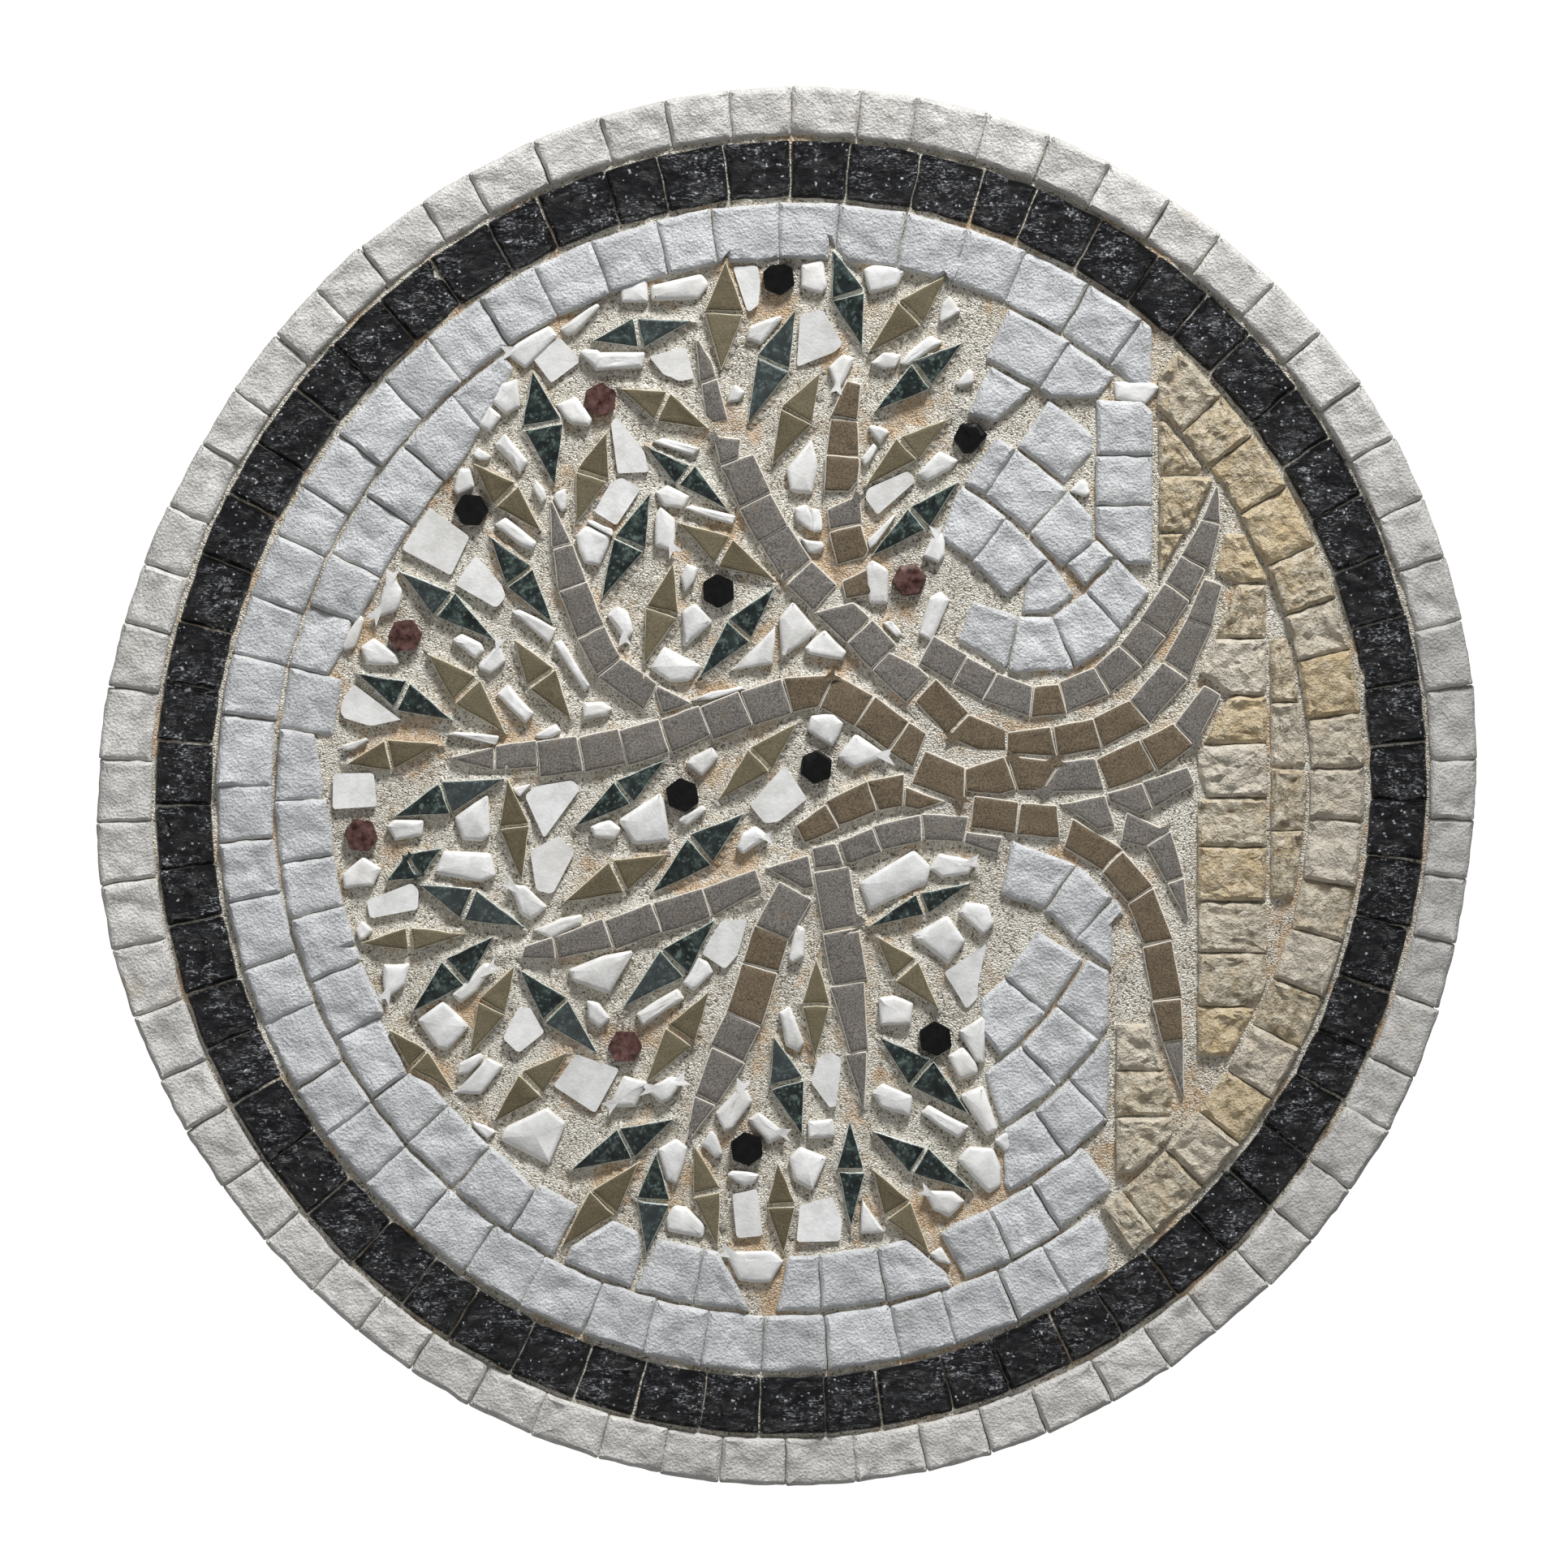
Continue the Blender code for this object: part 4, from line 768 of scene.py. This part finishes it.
def dress(piece, finish, angle, nodes):
    """Gives a piece its material, with edges above an angle left sharp, and its place in the frame."""
    piece.data.materials.clear()
    piece.data.materials.append(finish)
    only(piece)
    bpy.ops.object.shade_smooth_by_angle(angle=math.radians(angle))
    numbers = piece.data.attributes.get("stone")
    if numbers:
        piece.data.attributes.remove(numbers)
    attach(piece, "root")
    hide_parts(*nodes)


warm = split_marble("warm white marble", (0.69, 0.68, 0.655), (0.46, 0.45, 0.43), (0.42, 0.33, 0.22), 0.35)
cool = split_marble("cool white marble", (0.65, 0.66, 0.675), (0.45, 0.46, 0.47), (0.56, 0.51, 0.43), 0.12)

mortar = join([mortar_slab(), mortar_fill()], "mortar")
dress(mortar, lime_mortar(), 50, ["mortar_bed"])

outer = split_stones("outer_white_course", "outer_stones", COURSE_TOPS, 1.0, 0.9, 0.7, depth=6.4,
                     outward=0.04)
dress(outer, warm, 40, ["outer_white_course"])
black = split_stones("black_course", "black_stones", COURSE_TOPS, 0.9, 0.8, 0.9, joint=0.1, outward=0.05)
dress(black, black_rock(), 35, ["black_course"])
field = split_stones("white_field", "field_stones", STONE_TOPS, 1.0, 0.8, 0.6)
dress(field, cool, 40, ["white_field"])
ground = split_stones("ground_course", "ground_stones", STONE_TOPS, 0.8, 1.1, 1.5, joint=0.08)
dress(ground, limestone(), 35, ["ground_course"])

tree = sawn_stones("olive_tree", "tree_stones", STONE_TOPS, 0.06, ((0.26, 0.2), (0.3, 0.07)))
middle, owner = middles(tree)
near = [np.hypot(middle[:, 0] - x * MM, middle[:, 1] - z * MM) < r * MM for x, z, r in BROWN_PLACES]
brown = np.any(near, axis=0)
# A tone above a half is a brown stone
write_attribute(tree, "tone", (0.5 * brown + rng.uniform(0.02, 0.48, len(middle)))[owner])
unsettle(tree, 0.05, 0.12 * MM, math.radians(3), 0.12 * MM)
wobble(tree, 2.4 * MM, 0.35 * MM)
# The fifth colour is the pale edge: mortar dust and a painted highlight of the lit edges
tree_stone = sandstone("grey and brown sandstone", (0.045, 0.041, 0.037), (0.235, 0.215, 0.195),
                       (0.04, 0.029, 0.015), (0.19, 0.14, 0.085), (0.78, 0.74, 0.66), 0.3)
dress(tree, tree_stone, 40, ["olive_tree"])

# The fifth colour is the pale edge: mortar dust and a painted highlight of the lit edges
tan_stone = sandstone("olive brown sandstone", (0.065, 0.05, 0.026), (0.135, 0.11, 0.058),
                      (0.085, 0.071, 0.038), (0.17, 0.142, 0.082), (0.78, 0.72, 0.56), 0.28)
for label, finish, slot in (("green", green_marble(), "green_marble"), ("tan", tan_stone, "olive_sandstone")):
    nodes = sorted(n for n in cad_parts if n.startswith("leaf_" + label))
    halves = [sawn_stones(n, n + "_halves", STONE_TOPS, 0.02, ((0.16, 0.16), (0.16, 0.06)), cuts=3,
                          corner=0.2) for n in nodes]
    for number, half in enumerate(halves):
        number_from(half, 2 * number)
    leaves = join(halves, label + "_leaves")
    unsettle(leaves, 0.05, 0.12 * MM, math.radians(3), 0.15 * MM)
    wobble(leaves, 2.6 * MM, 0.4 * MM)
    dress(leaves, finish, 40, nodes)

chips = sawn_stones("mortar_bed", "crown_chips", COURSE_TOPS, -0.5, ((0.3, 0.34), (0.5, 0.16)),
                    high=OLIVE_TOPS, depth=2.5, corner=0.5)
little = small_chips("small_chips")
for piece in (chips, little):
    unsettle(piece, 0.06, 0.15 * MM)
    wobble(piece, 3.0 * MM, 0.6 * MM)
chips = join([chips, little], "crown_chips")
dress(chips, chip_marble(), 60, [])

olives = sawn_stones("mortar_bed", "olives", OLIVE_TOPS, -0.1, ((0.3, 0.3), (0.5, 0.15)), cuts=5)
unsettle(olives, 0.06, 0.1 * MM)
split_face(olives, 0.6, 0.6 * MM, 0.7 * MM, 0.5 * MM)
black_olive = olive_stone("black olive stone", (0.001, 0.001, 0.001), (0.006, 0.006, 0.007), 0.45)
brown_olive = olive_stone("reddish brown olive stone", (0.025, 0.008, 0.006), (0.17, 0.09, 0.08), 0.5)
dress(olives, black_olive, 30, [])
olives.data.materials.append(brown_olive)
for face in olives.data.polygons:
    at = face.center / MM
    if any(math.hypot(at.x - x, at.z - z) < OLIVE_REACH for x, z in BROWN_OLIVES):
        face.material_index = 1


# Stage, light and camera

FLOOR_RADIUS = 0.36
FLOOR_DROP = 0.165
bpy.ops.mesh.primitive_cylinder_add(vertices=96, radius=FLOOR_RADIUS, depth=0.01,
                                    location=(0, 0, -FLOOR_DROP))
floor = bpy.context.object
floor.name = "floor"
floor.data.materials.append(Paint("pale floor").finish(Base_Color=(0.8, 0.8, 0.8), Roughness=0.9))

# The world's strength as light on the panel, and as the pale ground that the camera sees
WORLD_LIGHT = 0.24
WORLD_SEEN = 1.05
world = bpy.data.worlds.new("studio")
bpy.context.scene.world = world
world.use_nodes = True
background = world.node_tree.nodes["Background"]
path = world.node_tree.nodes.new("ShaderNodeLightPath")
strength = world.node_tree.nodes.new("ShaderNodeMapRange")
strength.inputs["To Min"].default_value = WORLD_LIGHT
strength.inputs["To Max"].default_value = WORLD_SEEN
world.node_tree.links.new(path.outputs["Is Camera Ray"], strength.inputs["Value"])
world.node_tree.links.new(strength.outputs[0], background.inputs["Strength"])
background.inputs["Color"].default_value = (1, 1, 1, 1)


def lamp(name, spot, size, power):
    """A soft square light that faces the panel, its size in metres and its power in watts."""
    data = bpy.data.lights.new(name, "AREA")
    data.size, data.energy = size, power
    made = bpy.data.objects.new(name, data)
    made.location = spot
    made.rotation_euler = (Vector((0, -0.01, 0)) - Vector(spot)).to_track_quat("-Z", "Y").to_euler()
    bpy.context.scene.collection.objects.link(made)


lamp("key", (1.15, -0.62, -0.25), 0.28, 26)
lamp("fill", (-0.7, -1.2, 0.6), 1.0, 2.5)

# The photograph's scale at the face, and the point of the face at its middle
PIXELS = 1932
MM_PER_PIXEL = 0.1346
FACE_MIDDLE = Vector((0.54, -14.8, 1.14)) * MM
DISTANCE = 1.8
camera_data = bpy.data.cameras.new("camera")
camera_data.lens = camera_data.sensor_width * DISTANCE / (PIXELS * MM_PER_PIXEL * MM)
camera = bpy.data.objects.new("camera", camera_data)
on_its_side = Matrix(((0, 1, 0), (0, 0, -1), (-1, 0, 0))).to_4x4()
camera.matrix_world = Matrix.Translation(FACE_MIDDLE - Vector((0, DISTANCE, 0))) @ on_its_side
bpy.context.scene.collection.objects.link(camera)
bpy.context.scene.camera = camera
bpy.context.scene.view_settings.view_transform = "Standard"
